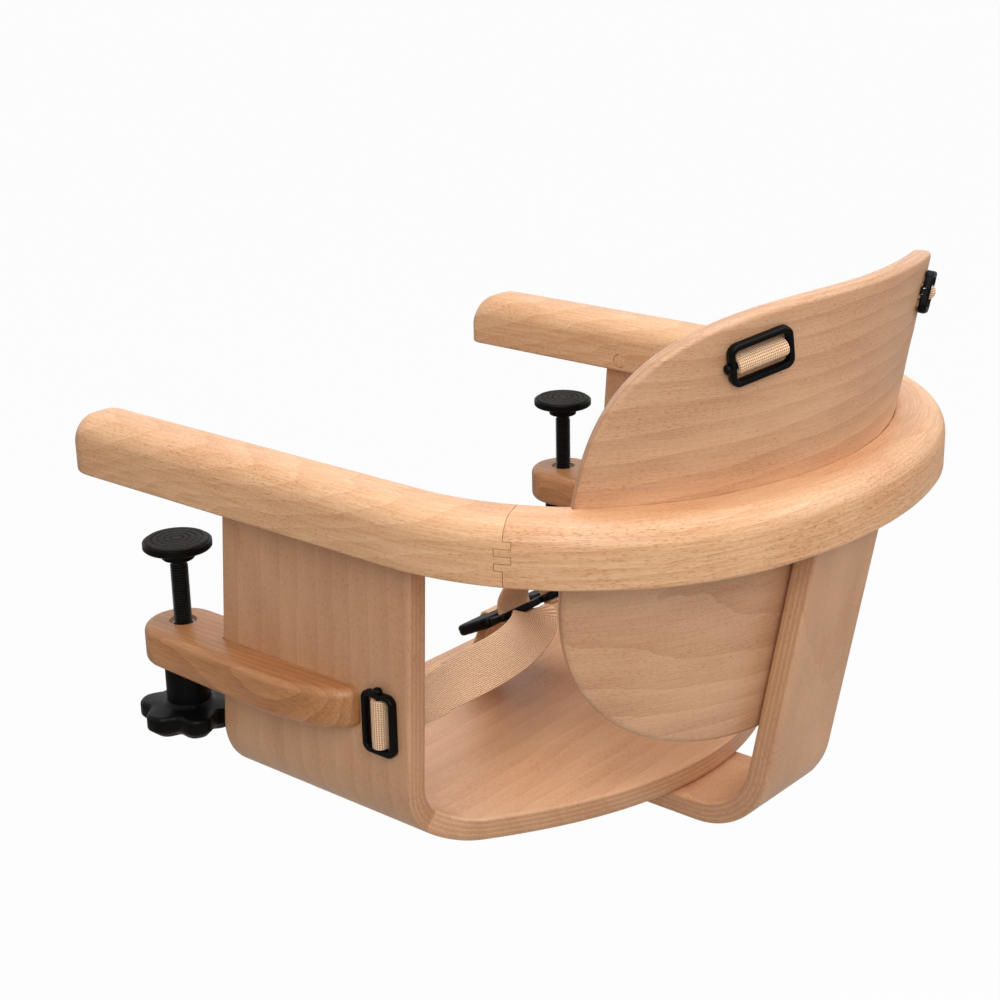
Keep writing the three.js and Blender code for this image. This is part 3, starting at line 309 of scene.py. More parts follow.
def beech(name, pale, dark, ring_gap, contrast, streak, ply=0.0, thickness=0.0):
    material, tree = new_material(name)
    grain = add_node(tree, "Attribute", {}, attribute_name="grain").outputs["Vector"]

    # Growth rings, bent by slow noise and drawn out along the plank
    slow = add_node(tree, "VectorMath", {0: grain, 1: DRIFT_SIZE}, operation="DIVIDE")
    drift = add_node(tree, "TexNoise", {"Vector": slow, "Scale": 1.0, "Detail": 3.0})
    planed = add_node(tree, "VectorMath", {0: grain, 1: (0.11, 1, 0.9)}, operation="MULTIPLY")
    placed = add_node(tree, "VectorMath", {0: planed, 1: (3, 9, 46)}, operation="ADD")
    bent = add_node(tree, "VectorMath", {0: drift.outputs["Color"], 1: (9, 9, 9), 2: placed},
                    operation="MULTIPLY_ADD")
    rings = add_node(tree, "TexWave", {
        "Vector": bent, "Scale": WAVE_REPEAT / ring_gap,
        "Distortion": 1.4, "Detail": 2.0, "Detail Scale": 0.5},
        wave_type="RINGS", rings_direction="SPHERICAL", wave_profile="SAW").outputs["Fac"]

    # Rays: short dark flecks. Pores: fine long streaks
    rays = add_node(tree, "VectorMath", {0: grain, 1: RAY_SIZE}, operation="DIVIDE")
    rays = add_node(tree, "TexNoise", {"Vector": rays, "Scale": 1.0, "Detail": 1.0})
    flecks = add_node(tree, "MapRange", {"Value": rays, "From Min": 0.54, "From Max": 0.70})
    pores = add_node(tree, "VectorMath", {0: grain, 1: PORE_SIZE}, operation="DIVIDE")
    pores = add_node(tree, "TexNoise", {"Vector": pores, "Scale": 1.0, "Detail": 3.0})

    # Colour: pale wood, darker in the late wood of each ring, in the streaks and in the flecks
    ring_part = add_node(tree, "Math", {0: rings, 1: contrast}, operation="MULTIPLY")
    streaks = add_node(tree, "MapRange", {
        "Value": pores, "From Min": 0.35, "From Max": 0.72, "To Max": streak})
    tone = add_node(tree, "Math", {0: ring_part, 1: streaks}, operation="ADD")
    wide = add_node(tree, "MapRange", {"Value": drift, "From Min": 0.35, "From Max": 0.65, "To Max": 0.22})
    tone = add_node(tree, "Math", {0: tone, 1: wide}, operation="ADD", use_clamp=True)
    colour = add_node(tree, "Mix", {0: tone, 6: linear(pale), 7: linear(dark)}, data_type="RGBA")
    patches = add_node(tree, "MapRange", {
        "Value": drift, "From Min": 0.38, "From Max": 0.62, "To Min": 0.34, "To Max": 0.70})
    fleck_part = add_node(tree, "Math", {0: flecks, 1: patches}, operation="MULTIPLY")
    colour = add_node(tree, "Mix", {0: fleck_part, 6: colour, 7: linear(FLECK_COLOUR)}, data_type="RGBA")
    height = add_node(tree, "Math", {0: flecks, 1: -1.0}, operation="MULTIPLY")

    if ply:
        colour, height = ply_edge(tree, grain, colour, height, ply, thickness)
    bump = add_node(tree, "Bump", {"Height": height, "Strength": 0.35, "Distance": 0.00012})
    sheen = add_node(tree, "MapRange", {"Value": pores, "To Min": 0.40, "To Max": 0.56})
    shader = add_node(tree, "BsdfPrincipled", {
        "Base Color": colour, "Roughness": sheen, "Normal": bump,
        "IOR": 1.5, "Coat Weight": 0.35, "Coat Roughness": 0.30})
    add_node(tree, "OutputMaterial", {"Surface": shader})
    return material


# %% [markdown]
# Plywood shows its build at the edge: thin veneers, each turned a quarter against the next, with
# dark glue lines. A veneer seen on end soaks up lacquer and turns darker. The depth that was
# stored on the mesh tells which veneer a point is in, so the stripes follow every bend.

# %% Plies at the edge
def ply_edge(tree, grain, colour, height, ply, thickness):
    depth = add_node(tree, "SeparateXYZ", {0: grain}).outputs[2]
    inside = add_node(tree, "Clamp", {"Value": depth, "Min": 0.25, "Max": thickness - 0.25})
    layer = add_node(tree, "Math", {0: inside, 1: ply}, operation="DIVIDE")
    number = add_node(tree, "Math", {0: layer}, operation="FLOOR")
    crossed = add_node(tree, "Math", {0: number, 1: 2.0}, operation="MODULO")
    part = add_node(tree, "Math", {0: layer}, operation="FRACT")
    middle = add_node(tree, "Math", {0: part, 1: 0.5}, operation="SUBTRACT")
    middle = add_node(tree, "Math", {0: middle}, operation="ABSOLUTE")
    glue = add_node(tree, "MapRange", {"Value": middle, "From Min": 0.41, "From Max": 0.49})
    shade = add_node(tree, "Math", {0: crossed, 1: 0.32}, operation="MULTIPLY")
    colour = add_node(tree, "Mix", {0: shade, 6: colour, 7: linear(END_VENEER)}, data_type="RGBA")
    line = add_node(tree, "Math", {0: glue, 1: 0.34}, operation="MULTIPLY")
    colour = add_node(tree, "Mix", {0: line, 6: colour, 7: linear(GLUE_COLOUR)}, data_type="RGBA")
    height = add_node(tree, "Math", {0: height, 1: glue}, operation="SUBTRACT")
    return colour, height


SHELL_PLY, SHELL_VENEERS = 12.5, 9
BACK_PLY, BACK_VENEERS = 11, 7
steamed_beech = beech("clear-lacquered steamed beech", "#f0c498", "#c47b44", 3.4, 0.22, 0.36)
# The clamp bars' beech is darker and browner as painted shade from the arm and the table top above.
beech_in_painted_shade = beech("clear-lacquered beech, darkened as painted shade", "#cf9260", "#97602f", 4.2, 0.36, 0.42)
shell_plywood = beech("beech-faced plywood, nine plies", "#d9a981", "#a96f49", 11.0, 0.16, 0.16,
                      SHELL_PLY / SHELL_VENEERS, SHELL_PLY)
back_plywood = beech("beech-faced plywood, seven plies", "#e3b68f", "#b47c55", 9.0, 0.28, 0.28,
                     BACK_PLY / BACK_VENEERS, BACK_PLY)
print("wood finishes:", [m.name for m in (steamed_beech, beech_in_painted_shade, shell_plywood, back_plywood)])

# %% [markdown]
# ## Finishes: nylon, steel, rubber and cotton
# The fittings are moulded black nylon with a spark-eroded texture, which spreads the highlight.
# The clamp screws are steel with a black oxide skin, the wood screws and inserts bright zinc
# plate, and the foot pads soft rubber that reflects least. Real textures of this kind are finer
# than the picture shows, so all four are drawn as coarse as a quarter to half a millimetre.

# %% Black nylon, steels and rubber
PATCHES_PER_METRE = 60


def plain_finish(name, colour, other, grit, roughness, spread, depth, **shader_inputs):
    material, tree = new_material(name)
    where = add_node(tree, "TexCoord", {}).outputs["Object"]
    fine = add_node(tree, "TexNoise", {"Vector": where, "Scale": 1000 / grit, "Detail": 3.0})
    broad = add_node(tree, "TexNoise", {"Vector": where, "Scale": PATCHES_PER_METRE, "Detail": 4.0})
    tone = add_node(tree, "Mix", {0: broad, 6: linear(colour), 7: linear(other)}, data_type="RGBA")
    gloss = add_node(tree, "MapRange", {"Value": broad, "From Min": 0.3, "From Max": 0.7,
                                        "To Min": roughness - spread, "To Max": roughness + spread})
    bump = add_node(tree, "Bump", {"Height": fine, "Strength": 0.4, "Distance": depth})
    shader = add_node(tree, "BsdfPrincipled", {
        "Base Color": tone, "Roughness": gloss, "Normal": bump, **shader_inputs})
    add_node(tree, "OutputMaterial", {"Surface": shader})
    return material


black_nylon = plain_finish("moulded black nylon", "#060606", "#0b0a0a", 0.35, 0.36, 0.05, 0.00002,
                           **{"IOR": 1.53, "Specular IOR Level": 0.08})
black_oxide = plain_finish("black-oxide steel", "#0d0d0e", "#1a1918", 0.25, 0.40, 0.08, 0.00002,
                           Metallic=0.6)
zinc_plate = plain_finish("bright zinc plate", "#b9babc", "#a1a2a5", 0.4, 0.32, 0.08, 0.00001,
                          Metallic=1.0)
soft_rubber = plain_finish("moulded rubber", "#1d1b1a", "#292624", 0.5, 0.82, 0.06, 0.00005, IOR=1.52)
print("plain finishes:", [m.name for m in (black_nylon, black_oxide, zinc_plate, soft_rubber)])

# %% [markdown]
# The harness is undyed cotton webbing. Its yarns are close to a millimetre thick and cross in a
# diagonal weave, which reads as rows of small dots. The product of two slanting waves gives the
# yarns their height, and the colour follows it: painted shade in the valleys between them.

# %% Cotton webbing
YARN, FUZZ_SIZE = 0.98, (0.625, 0.625, 0.625)


def cotton_webbing(name, light, dark):
    material, tree = new_material(name)
    grain = add_node(tree, "Attribute", {}, attribute_name="grain").outputs["Vector"]
    split = add_node(tree, "SeparateXYZ", {0: grain}).outputs
    rate = math.pi / YARN
    down = add_node(tree, "Math", {0: split[0], 1: rate}, operation="MULTIPLY")
    over = add_node(tree, "Math", {0: split[1], 1: rate}, operation="MULTIPLY")
    rising = add_node(tree, "Math", {0: down, 1: over}, operation="ADD")
    rising = add_node(tree, "Math", {0: rising}, operation="SINE")
    falling = add_node(tree, "Math", {0: down, 1: over}, operation="SUBTRACT")
    falling = add_node(tree, "Math", {0: falling}, operation="SINE")
    yarns = add_node(tree, "Math", {0: rising, 1: falling}, operation="MULTIPLY")
    fuzz = add_node(tree, "VectorMath", {0: grain, 1: FUZZ_SIZE}, operation="DIVIDE")
    fuzz = add_node(tree, "TexNoise", {"Vector": fuzz, "Scale": 1.0, "Detail": 4.0})
    # Painted shade: the colour runs from dark in the valleys between yarns to light on their crests, with
    # random fuzz.
    high = add_node(tree, "MapRange", {"Value": yarns, "From Min": -0.6, "From Max": 0.6})
    mixed = add_node(tree, "Math", {0: fuzz, 1: 0.7, 2: high}, operation="MULTIPLY_ADD")
    tone = add_node(tree, "MapRange", {"Value": mixed, "From Min": 0.42, "From Max": 1.05})
    colour = add_node(tree, "Mix", {0: tone, 6: linear(dark), 7: linear(light)}, data_type="RGBA")
    bump = add_node(tree, "Bump", {"Height": mixed, "Strength": 0.8, "Distance": 0.00025})
    shader = add_node(tree, "BsdfPrincipled", {
        "Base Color": colour, "Normal": bump, "Roughness": 0.92, "IOR": 1.45,
        "Sheen Weight": 0.25, "Sheen Roughness": 0.5})
    add_node(tree, "OutputMaterial", {"Surface": shader})
    return material


webbing = cotton_webbing("undyed cotton webbing", "#fddab4", "#b37c52")
print("yarn pitch", YARN, "mm in", webbing.name)

# %% [markdown]
# ## Floor
# A pale floor lies well below the seat, where it would be under a real table. It is lit like any
# surface and so keeps a faint shadow, while the camera sees it lifted towards white.

# %% Floor
def pale_floor():
    material, tree = new_material("matt white studio floor")
    path = add_node(tree, "LightPath", {}).outputs
    matt = add_node(tree, "BsdfPrincipled", {"Base Color": linear("#c9c6c2"), "Roughness": 0.9})
    glow = add_node(tree, "Emission", {"Color": (1, 1, 1, 1), "Strength": 1.0})
    share = add_node(tree, "Math", {0: path["Is Camera Ray"], 1: 0.97}, operation="MULTIPLY")
    both = add_node(tree, "MixShader", {0: share, 1: matt, 2: glow})
    add_node(tree, "OutputMaterial", {"Surface": both})
    return material


FLOOR_Z, FLOOR_THICK, FLOOR_RADIUS = -740, 10, 30000
floor = turned_piece("floor", [(FLOOR_RADIUS, FLOOR_Z - FLOOR_THICK), (FLOOR_RADIUS, FLOOR_Z)], np.eye(4))
floor.data.materials.append(pale_floor())
print("floor", -FLOOR_Z, "mm below the table top")

# %% [markdown]
# ## The bent rail
# Two arms and a bow make one rail of the same rounded section. On the real chair the bow is bent
# and the arms are sawn, and a finger joint glues them at each corner. A bevelled curve could give
# the sweep, but the nose gets narrower and lower, so the rail is a skin over its own sections.

# %% Rail sizes and its line in plan
# CLEAR is the hairline that the solids keep between pieces
HALF_WIDTH, CLEAR = 172.5, 0.3
RAIL_WIDTH, RAIL_HEIGHT = 37, 32.5
TOP_ROUND, BOTTOM_ROUND = 13.5, 2
ARM_REACH, OUTER_ROUND, INNER_ROUND, NOSE_SLOPE, NOSE_EDGE = 110, 19.5, 8, 18, 15.5
RAIL_X = HALF_WIDTH - 2
CORNER_RADIUS = HALF_WIDTH - 34.5
CORNER_X = RAIL_X - CORNER_RADIUS
BACK_RADIUS, BACK_REAR_Y, BACK_LEAN = HALF_WIDTH + 22.5, 265.2, 0.187
BOW_RADIUS = BACK_RADIUS + 55
BEND = math.acos(CORNER_X / (BOW_RADIUS - CORNER_RADIUS))
BOW_Y = BACK_REAR_Y + 10.62 - BOW_RADIUS
CORNER_Y = BOW_Y + (BOW_RADIUS - CORNER_RADIUS) * math.sin(BEND)
CORNER_END = ARM_REACH + CORNER_Y + CORNER_RADIUS * BEND
HALF_RAIL = CORNER_END + BOW_RADIUS * (math.pi / 2 - BEND)


def rail_line():
    """Points along the left half: distance from the nose, place in plan and outward angle."""
    rows = [0.0] + [OUTER_ROUND * (1 - math.cos(a)) for a in arc(18, 90, 14)]
    rows += list(np.linspace(30, ARM_REACH + CORNER_Y - 6, 9))
    line = [(along, RAIL_X, along - ARM_REACH, 0) for along in rows]
    for angle in np.linspace(0, BEND, 34):
        line.append((ARM_REACH + CORNER_Y + CORNER_RADIUS * angle,
                     CORNER_X + CORNER_RADIUS * math.cos(angle),
                     CORNER_Y + CORNER_RADIUS * math.sin(angle), angle))
    for angle in np.linspace(BEND, math.pi / 2, 10)[1:]:
        line.append((CORNER_END, BOW_RADIUS * math.cos(angle),
                     BOW_Y + BOW_RADIUS * math.sin(angle), angle))
    return line


print("corner centre y", round(CORNER_Y, 2), "half rail", round(HALF_RAIL, 1), "mm")

# %% Rail sections
def quarter_round(radius, along):
    return math.sqrt(1 - (1 - min(along / radius, 1)) ** 2)


def rail_ring(along, x, y, out):
    outer_cut = OUTER_ROUND * (1 - quarter_round(OUTER_ROUND, along))
    inner_cut = INNER_ROUND * (1 - quarter_round(INNER_ROUND, along))
    width = RAIL_WIDTH - outer_cut - inner_cut
    height = NOSE_EDGE + (RAIL_HEIGHT - NOSE_EDGE) * quarter_round(NOSE_SLOPE, along)
    low = min(BOTTOM_ROUND, min(width, height) * 0.3)
    top = min(TOP_ROUND, width * 0.49, height - low)
    ring = []
    for side, base, reach, start, steps in ((1, height - top, top, 0, 9), (-1, height - top, top, 90, 9),
                                            (-1, low, low, 180, 4), (1, low, low, 270, 4)):
        for angle in arc(start, start + 90, steps):
            across = (inner_cut - outer_cut) / 2 + side * (width / 2 - reach) + reach * math.cos(angle)
            ring.append((x + across * math.cos(out), y + across * math.sin(out),
                         base + reach * math.sin(angle)))
    return np.array(ring)


left_rings = [rail_ring(*row) for row in rail_line()]
tip = left_rings[0]
tip_middle = tip.mean(0)
left_rings[:1] = [tip_middle + (tip - tip_middle) * [0.84, 1, 0.92], tip + [0, 0.6, 0]]
rail_rings = left_rings + [ring * [-1, 1, 1] for ring in left_rings[-2::-1]]


def rail_blank(name):
    return make_piece(name, *skin(rail_rings))


print("rail sections:", len(rail_rings))

# %% [markdown]
# The plank coordinates of the rail count along its middle line from the centre of the bow, so the
# grain runs round both corners. Each of the three parts adds its own shift, because they come
# from different boards and the figure breaks at the glue line.

# %% Grain of the rail
def rail_grain(shift):
    def grain_of(points):
        x, y, z = np.abs(points[:, 0]), points[:, 1], points[:, 2]
        angle = np.arctan2(y - CORNER_Y, x - CORNER_X)
        bow = np.arctan2(y - BOW_Y, x)
        on_arm = y <= CORNER_Y
        on_corner = (angle <= BEND) & ~on_arm
        along = np.where(on_arm, y + ARM_REACH, np.where(
            on_corner, ARM_REACH + CORNER_Y + CORNER_RADIUS * angle,
            CORNER_END + BOW_RADIUS * (bow - BEND)))
        across = np.where(on_arm, x - RAIL_X, np.where(
            on_corner, np.hypot(x - CORNER_X, y - CORNER_Y) - CORNER_RADIUS,
            np.hypot(x, y - BOW_Y) - BOW_RADIUS))
        along = (HALF_RAIL - along) * np.sign(points[:, 0])
        return np.stack([along, across, z], 1) + shift
    return grain_of


print("the middle of the bow lies", round(HALF_RAIL), "mm along its plank")

# %% [markdown]
# ## Finger joints
# A finger joint is glued with interlocking teeth, so its line on the outside is a little
# battlement. One comb-shaped tool cuts the end of the arm and its twin cuts the bow, a glue gap
# apart.

# %% Comb tools
FINGER_ANGLE, FINGER_LENGTH, FINGER_HEIGHT, FINGER_COUNT, FINGERS_Z = 24, 8.4, 3.65, 4, 8.6


def comb_tool(side, keeps_arm):
    inward = -1 if keeps_arm else 1
    gap = inward * CLEAR / 2
    steps = [0] + [(1 if i % 2 else -1) * FINGER_LENGTH / 2 for i in range(FINGER_COUNT)] + [0]
    edge = [(gap, -5)]
    for i in range(FINGER_COUNT + 1):
        below, above = steps[i], steps[i + 1]
        height = FINGERS_Z + FINGER_HEIGHT * i - math.copysign(CLEAR / 2, (above - below) * inward)
        edge += [(below + gap, height), (above + gap, height)]
    edge.append((gap, RAIL_HEIGHT + 5))
    far = -600 * inward
    outline = [(far, -5), *edge, (far, RAIL_HEIGHT + 5)]
    slant = math.radians(FINGER_ANGLE)
    rings = []
    for across in (-500, 500):
        ring = [(CORNER_X + across * math.cos(slant) - along * math.sin(slant),
                 CORNER_Y + across * math.sin(slant) + along * math.cos(slant), z) for along, z in outline]
        rings.append(np.array(ring) * [side, 1, 1])
    return make_piece("comb", *skin(rings))


print(FINGER_COUNT, "fingers of", FINGER_LENGTH, "by", FINGER_HEIGHT, "mm")


# %% [markdown]
# ## The moulded backrest
# The backrest is a sheet pressed round a cylinder and leaning back, cut to an egg-shaped outline
# with its edge rounded by hand. The same two helpers place any point of it: one gives the point at
# an angle, a height and a radius, the other the directions out, round and up.

# %% Backrest surface
def back_point(angle, z, radius):
    middle_y = BACK_REAR_Y + BACK_LEAN * z - BACK_RADIUS
    return np.array([radius * math.sin(angle), middle_y + radius * math.cos(angle), z])


def back_frame(angle):
    out = np.array([math.sin(angle), math.cos(angle), -BACK_LEAN * math.cos(angle)])
    out /= np.linalg.norm(out)
    around = np.array([math.cos(angle), -math.sin(angle), 0])
    return out, around, np.cross(around, out)


BACK_INNER = BACK_RADIUS - BACK_PLY
BACK_ANGLE = math.asin((HALF_WIDTH - 31.3) / BACK_RADIUS)
BACK_Z, BACK_RISE, BACK_DROP, TOP_POWER, BOTTOM_POWER = 11.4, 115.5, 127, 3.3, 2.7


def squared(value, power):
    return math.copysign(abs(value) ** (2 / power), value)


def egg_outline(count=220):
    """Outline of the backrest unrolled flat, evenly spaced: distance round the bend and height."""
    rough = []
    for angle in np.linspace(0, 2 * math.pi, 4000, endpoint=False):
        reach, power = (BACK_RISE, TOP_POWER) if math.sin(angle) >= 0 else (BACK_DROP, BOTTOM_POWER)
        rough.append((BACK_ANGLE * BACK_RADIUS * squared(math.cos(angle), power),
                      BACK_Z + reach * squared(math.sin(angle), power)))
    return even(np.array(rough), count)

# %% Outlines
def even(rough, count):
    closed = np.vstack([rough, rough[:1]])
    length = np.concatenate([[0], np.cumsum(np.linalg.norm(np.diff(closed, axis=0), axis=1))])
    marks = np.linspace(0, length[-1], count, endpoint=False)
    return np.stack([np.interp(marks, length, closed[:, k]) for k in range(rough.shape[1])], 1)


def inset(outline, amount):
    """The outline moved inwards; it runs anticlockwise."""
    along = np.roll(outline, -1, 0) - np.roll(outline, 1, 0)
    along /= np.linalg.norm(along, axis=1)[:, None]
    return outline + np.stack([-along[:, 1], along[:, 0]], 1) * amount


print("backrest", round(2 * BACK_ANGLE * BACK_RADIUS), "mm round and", BACK_RISE + BACK_DROP, "mm high")

# %% [markdown]
# The sheet is built from rings of the outline. They shrink to the middle on the rear face, roll
# over the rounded edge and shrink again on the front, so the edge is equally round everywhere.

# %% Backrest blank
def back_sheet(flat, depth):
    return [back_point(s / BACK_RADIUS, z, BACK_RADIUS - depth) for s, z in flat]


def backrest_blank(edge=3.6):
    outline = egg_outline()
    centre = np.array([0, BACK_Z])
    face = inset(outline, edge)
    shrunk = [centre + (face - centre) * share for share in (0.03, 0.15, 0.3, 0.45, 0.6, 0.72, 0.84, 0.94)]
    rings = [back_sheet(flat, 0) for flat in shrunk]
    for angle in arc(90, 0, 6):
        rings.append(back_sheet(inset(outline, edge * (1 - math.cos(angle))), edge * (1 - math.sin(angle))))
    for angle in arc(0, 90, 6):
        rings.append(back_sheet(inset(outline, edge * (1 - math.cos(angle))),
                                BACK_PLY - edge * (1 - math.sin(angle))))
    rings += [back_sheet(flat, BACK_PLY) for flat in shrunk[::-1]]
    return make_piece("backrest_sheet", *skin(rings))


def back_grain(points):
    x, y, z = points.T
    middle = BACK_REAR_Y + BACK_LEAN * z - BACK_RADIUS
    depth = BACK_RADIUS - np.hypot(x, y - middle)
    return np.stack([BACK_RADIUS * np.arctan2(x, y - middle) + 310, z + 6, depth], 1)


print("points in the backrest's outline:", len(egg_outline()))

# %% [markdown]
# ## Strap retainers' places
# Webbing passes through a slot in the wood and loops round a pin, and a ring over the pin hides
# the slot. There are five: one on each side of the seat, two on the backrest, one under the seat.
# Each place has its length along x and the wood's outward side along z.

# %% Places and slots of the retainers
SHELL_LENGTH, SHELL_BOTTOM, SHELL_LEAN = 135.5, -166, 0.08
SIDE_SLOT_INSET, SIDE_SLOT_Z, BACK_SLOT_Z, CROTCH_SLOT_Y = 23, -94, 102, 28
BACK_SLOT_TURN, BACK_SLOT_TILT = math.radians(23.1), math.radians(13)
RETAINERS = {}
for side, label in SIDES:
    RETAINERS[f"side_retainer_{label}"] = (
        place_on((side * HALF_WIDTH, SHELL_LENGTH - SIDE_SLOT_INSET, SIDE_SLOT_Z),
                 (0, 0, 1), (side, 0, 0)), 1)
    out, around, upward = back_frame(side * BACK_SLOT_TURN)
    length_way = around * math.cos(BACK_SLOT_TILT) - side * upward * math.sin(BACK_SLOT_TILT)
    RETAINERS[f"back_retainer_{label}"] = (
        place_on(back_point(side * BACK_SLOT_TURN, BACK_SLOT_Z, BACK_RADIUS), length_way, out), side)
RETAINERS["crotch_retainer"] = (place_on((0, CROTCH_SLOT_Y, SHELL_BOTTOM), (1, 0, 0), (0, 0, -1)), 1)
WEB_WIDTH, WEB_THICK, PIN_RADIUS = 27, 2.2, 1.7
PIN_HEIGHT = CLEAR + PIN_RADIUS


def slot_tool(name, ply):
    half_width, half_length = PIN_RADIUS + WEB_THICK + 3 * CLEAR, WEB_WIDTH / 2 + 2 * CLEAR
    return box_tool((-half_length, -half_width, -ply - 4), (half_length, half_width, 4), RETAINERS[name][0])


print("retainers:", sorted(RETAINERS))

# %% [markdown]
# ## Screws
# Countersunk wood screws hold the backrest, the strap and the clamp bars. Their places come
# first, because each sheet needs a hole of the screw's own shape before the screw is turned. A
# place is the middle of the head, the direction of the shank and the length.

# %% Screw places
BOW_SCREWS = [(back_point(s * math.radians(30), 16, BACK_INNER), back_frame(s * math.radians(30))[0], 26)
              for s in (1, -1)]
BACK_SCREWS = [(back_point(0, z, BACK_INNER), back_frame(0)[0], 20) for z in (-38, -84)]
SHELL_INNER = HALF_WIDTH - SHELL_PLY
BAR_TOP, BAR_HEIGHT = -79.4, 22.6
BAR_Z = BAR_TOP - BAR_HEIGHT / 2
BAR_SCREWS = [((s * SHELL_INNER, y, BAR_Z), (s, 0, 0), 26) for s in (1, -1) for y in (22, 62)]
STRAP_PLY = 12.5
STRAP_BOTTOM = SHELL_BOTTOM - CLEAR - STRAP_PLY
STRAP_SCREWS = [((s * 16, y, STRAP_BOTTOM), (0, 0, 1), 21) for y in (142, 178) for s in (1, -1)]
RECESS_WAY = (0.31, 0.52, 0.79)


def head_tool(start, direction, length):
    """Room for a screw: its countersunk head and its shank."""
    profile = [(0, -3), (4, -3), (4, 0.2), (2.3, 2.9), (2.3, length + 0.5), (0, length + 0.5)]
    return turned_piece("tool", profile, place_on(start, RECESS_WAY, direction), 32)


print("screw places:", len(BOW_SCREWS + BACK_SCREWS + BAR_SCREWS + STRAP_SCREWS))

# %% [markdown]
# The bow is the middle of the rail. Its two ends are cut by the combs, and its inner side has a
# housing for the backrest and room for the top of the rear strap. The housing's outline is the
# backrest's own, a little larger, so the sheet looks let in with a hairline round it.

# %% Bow
# The shell and the strap reach 13 mm up into the rail, and their rooms are a little deeper
SHEET_TOP, ROOM_TOP = 13, 13.3
back_housing = []
for z in (-6, RAIL_HEIGHT / 2, RAIL_HEIGHT + 6):
    power, reach = (TOP_POWER, BACK_RISE) if z > BACK_Z else (BOTTOM_POWER, BACK_DROP)
    half = BACK_ANGLE * (1 - (abs(z - BACK_Z) / reach) ** power) ** (1 / power) + CLEAR / BACK_RADIUS
    outer = [back_point(a, z, BACK_RADIUS + CLEAR / 2) for a in np.linspace(-half, half, 41)]
    inner = [back_point(a, z, BACK_INNER - 20) for a in np.linspace(half, -half, 41)]
    back_housing.append(np.array(outer + inner))
strap_room = box_tool((-31.8, 263.5, -6), (31.8, 280.5, ROOM_TOP))
for vertex in strap_room.data.vertices:
    vertex.co.y += BACK_LEAN * vertex.co.z
bow = cut_away(rail_blank("bent_bow"), comb_tool(1, False), comb_tool(-1, False),
               make_piece("housing", *skin(back_housing)), strap_room)
lay_grain(bow, rail_grain((40, 3, -6)))
dress(bow, steamed_beech, "beech", "chair", "back_bow")
print("bow vertices:", len(bow.data.vertices))

# %% [markdown]
# The arms are the same rail with the other half sawn off. A pocket in the underside takes the top
# of the seat shell, and two holes in the inner face are closed with wood plugs over the screws.

# %% Arms
RAIL_INNER = RAIL_X - RAIL_WIDTH / 2
PLUG_YS, PLUG_Z = (17, SHELL_LENGTH - 17.5), 6.8


def plug_place(side, y, depth):
    return place_on((side * (RAIL_INNER + depth), y, PLUG_Z), (0, 1, 0), (-side, 0, 0))


for side, label in SIDES:
    far, near = -side * 500, -side * CORNER_X
    half_tool = box_tool((min(far, near), -300, -5), (max(far, near), 500, RAIL_HEIGHT + 5))
    edges = sorted((side * (SHELL_INNER - CLEAR / 2), side * (HALF_WIDTH + CLEAR / 2)))
    pocket = box_tool((edges[0], 0.2, -5), (edges[1], SHELL_LENGTH + CLEAR, ROOM_TOP))
    holes = [turned_piece("tool", [(4.6, 0), (4.6, 12)], plug_place(side, y, 5.3), 32) for y in PLUG_YS]
    arm = cut_away(rail_blank(f"beech_arm_{label}"), half_tool, comb_tool(side, True), pocket, *holes)
    lay_grain(arm, rail_grain((900 * side, 2 * side, 5 + 9 * side)))
    dress(arm, steamed_beech, "beech", "chair", f"arm_{label}")
print("arm vertices:", len(arm.data.vertices))

# %% [markdown]
# The plugs are turned from the same beech, with their grain across the arm's, and stand a third
# of a millimetre inside its face with a fine bevel. That is why they show as a thin ring.

# %% Plugs in the arms
for side, label in SIDES:
    for y, end in zip(PLUG_YS, ("front", "rear")):
        profile = [(0, 0), (4.4, 0), (4.4, 4.3), (4.2, 4.6), (3.9, 4.7), (0, 4.7)]
        plug = turned_piece(f"plug_{end}_{label}", profile, plug_place(side, y, 5), 40)
        lay_grain(plug, lambda points: points[:, [2, 1, 0]] * [1, 1, 0.4] + 61)
        dress(plug, steamed_beech, "beech", "chair", f"arm_plug_{end}_{label}")
print("plugs", PLUG_YS[1] - PLUG_YS[0], "mm apart")

# %% [markdown]
# The blank of the backrest gets its two slots for webbing and four countersunk holes. Its plies
# run round the bend, and the edge shows them as thin stripes that follow the rounded rim.

# %% Backrest
slots = [slot_tool(f"back_retainer_{label}", BACK_PLY) for _, label in SIDES]
heads = [head_tool(*screw) for screw in BOW_SCREWS + BACK_SCREWS]
backrest = cut_away(backrest_blank(), *slots, *heads)
lay_grain(backrest, back_grain)
dress(backrest, back_plywood, "plywood", "chair", "backrest")
print("backrest vertices:", len(backrest.data.vertices))

# %% [markdown]
# ## The seat shell and the rear strap
# Both are moulded sheets of even thickness, so each is a row of slabs: the same rounded rectangle
# carried round a bend. The seat's rear edge bulges back in a curve that ends at the two sides.

# %% Slabs of a moulded sheet
def sheet_section(low, high, ply, edge, spans):
    """A rounded rectangle from low to high and from 0 to ply, with points along its long sides."""
    flat = []
    for u, d, start in ((high, 0, -90), (high, ply, 0), (low, ply, 90), (low, 0, 180)):
        centre_u = u - math.copysign(edge, u - (low + high) / 2)
        centre_d = d + (edge if d == 0 else -edge)
        flat += [(centre_u + edge * math.cos(a), centre_d + edge * math.sin(a))
                 for a in arc(start, start + 90, 4)]
        if start in (0, 180):
            steps = np.linspace(flat[-1][0], low + high - flat[-1][0], spans + 1)[1:-1]
            flat += [(step, flat[-1][1]) for step in steps]
    return np.array(flat)


def slab_ring(base, across, deep, section):
    return np.asarray(base) + np.outer(section[:, 0], across) + np.outer(section[:, 1], deep)


SHELL_BEND, SEAT_BULGE, SHELL_REAR_LEAN, SHEET_EDGE = 37, 68, 0.047, 2.0


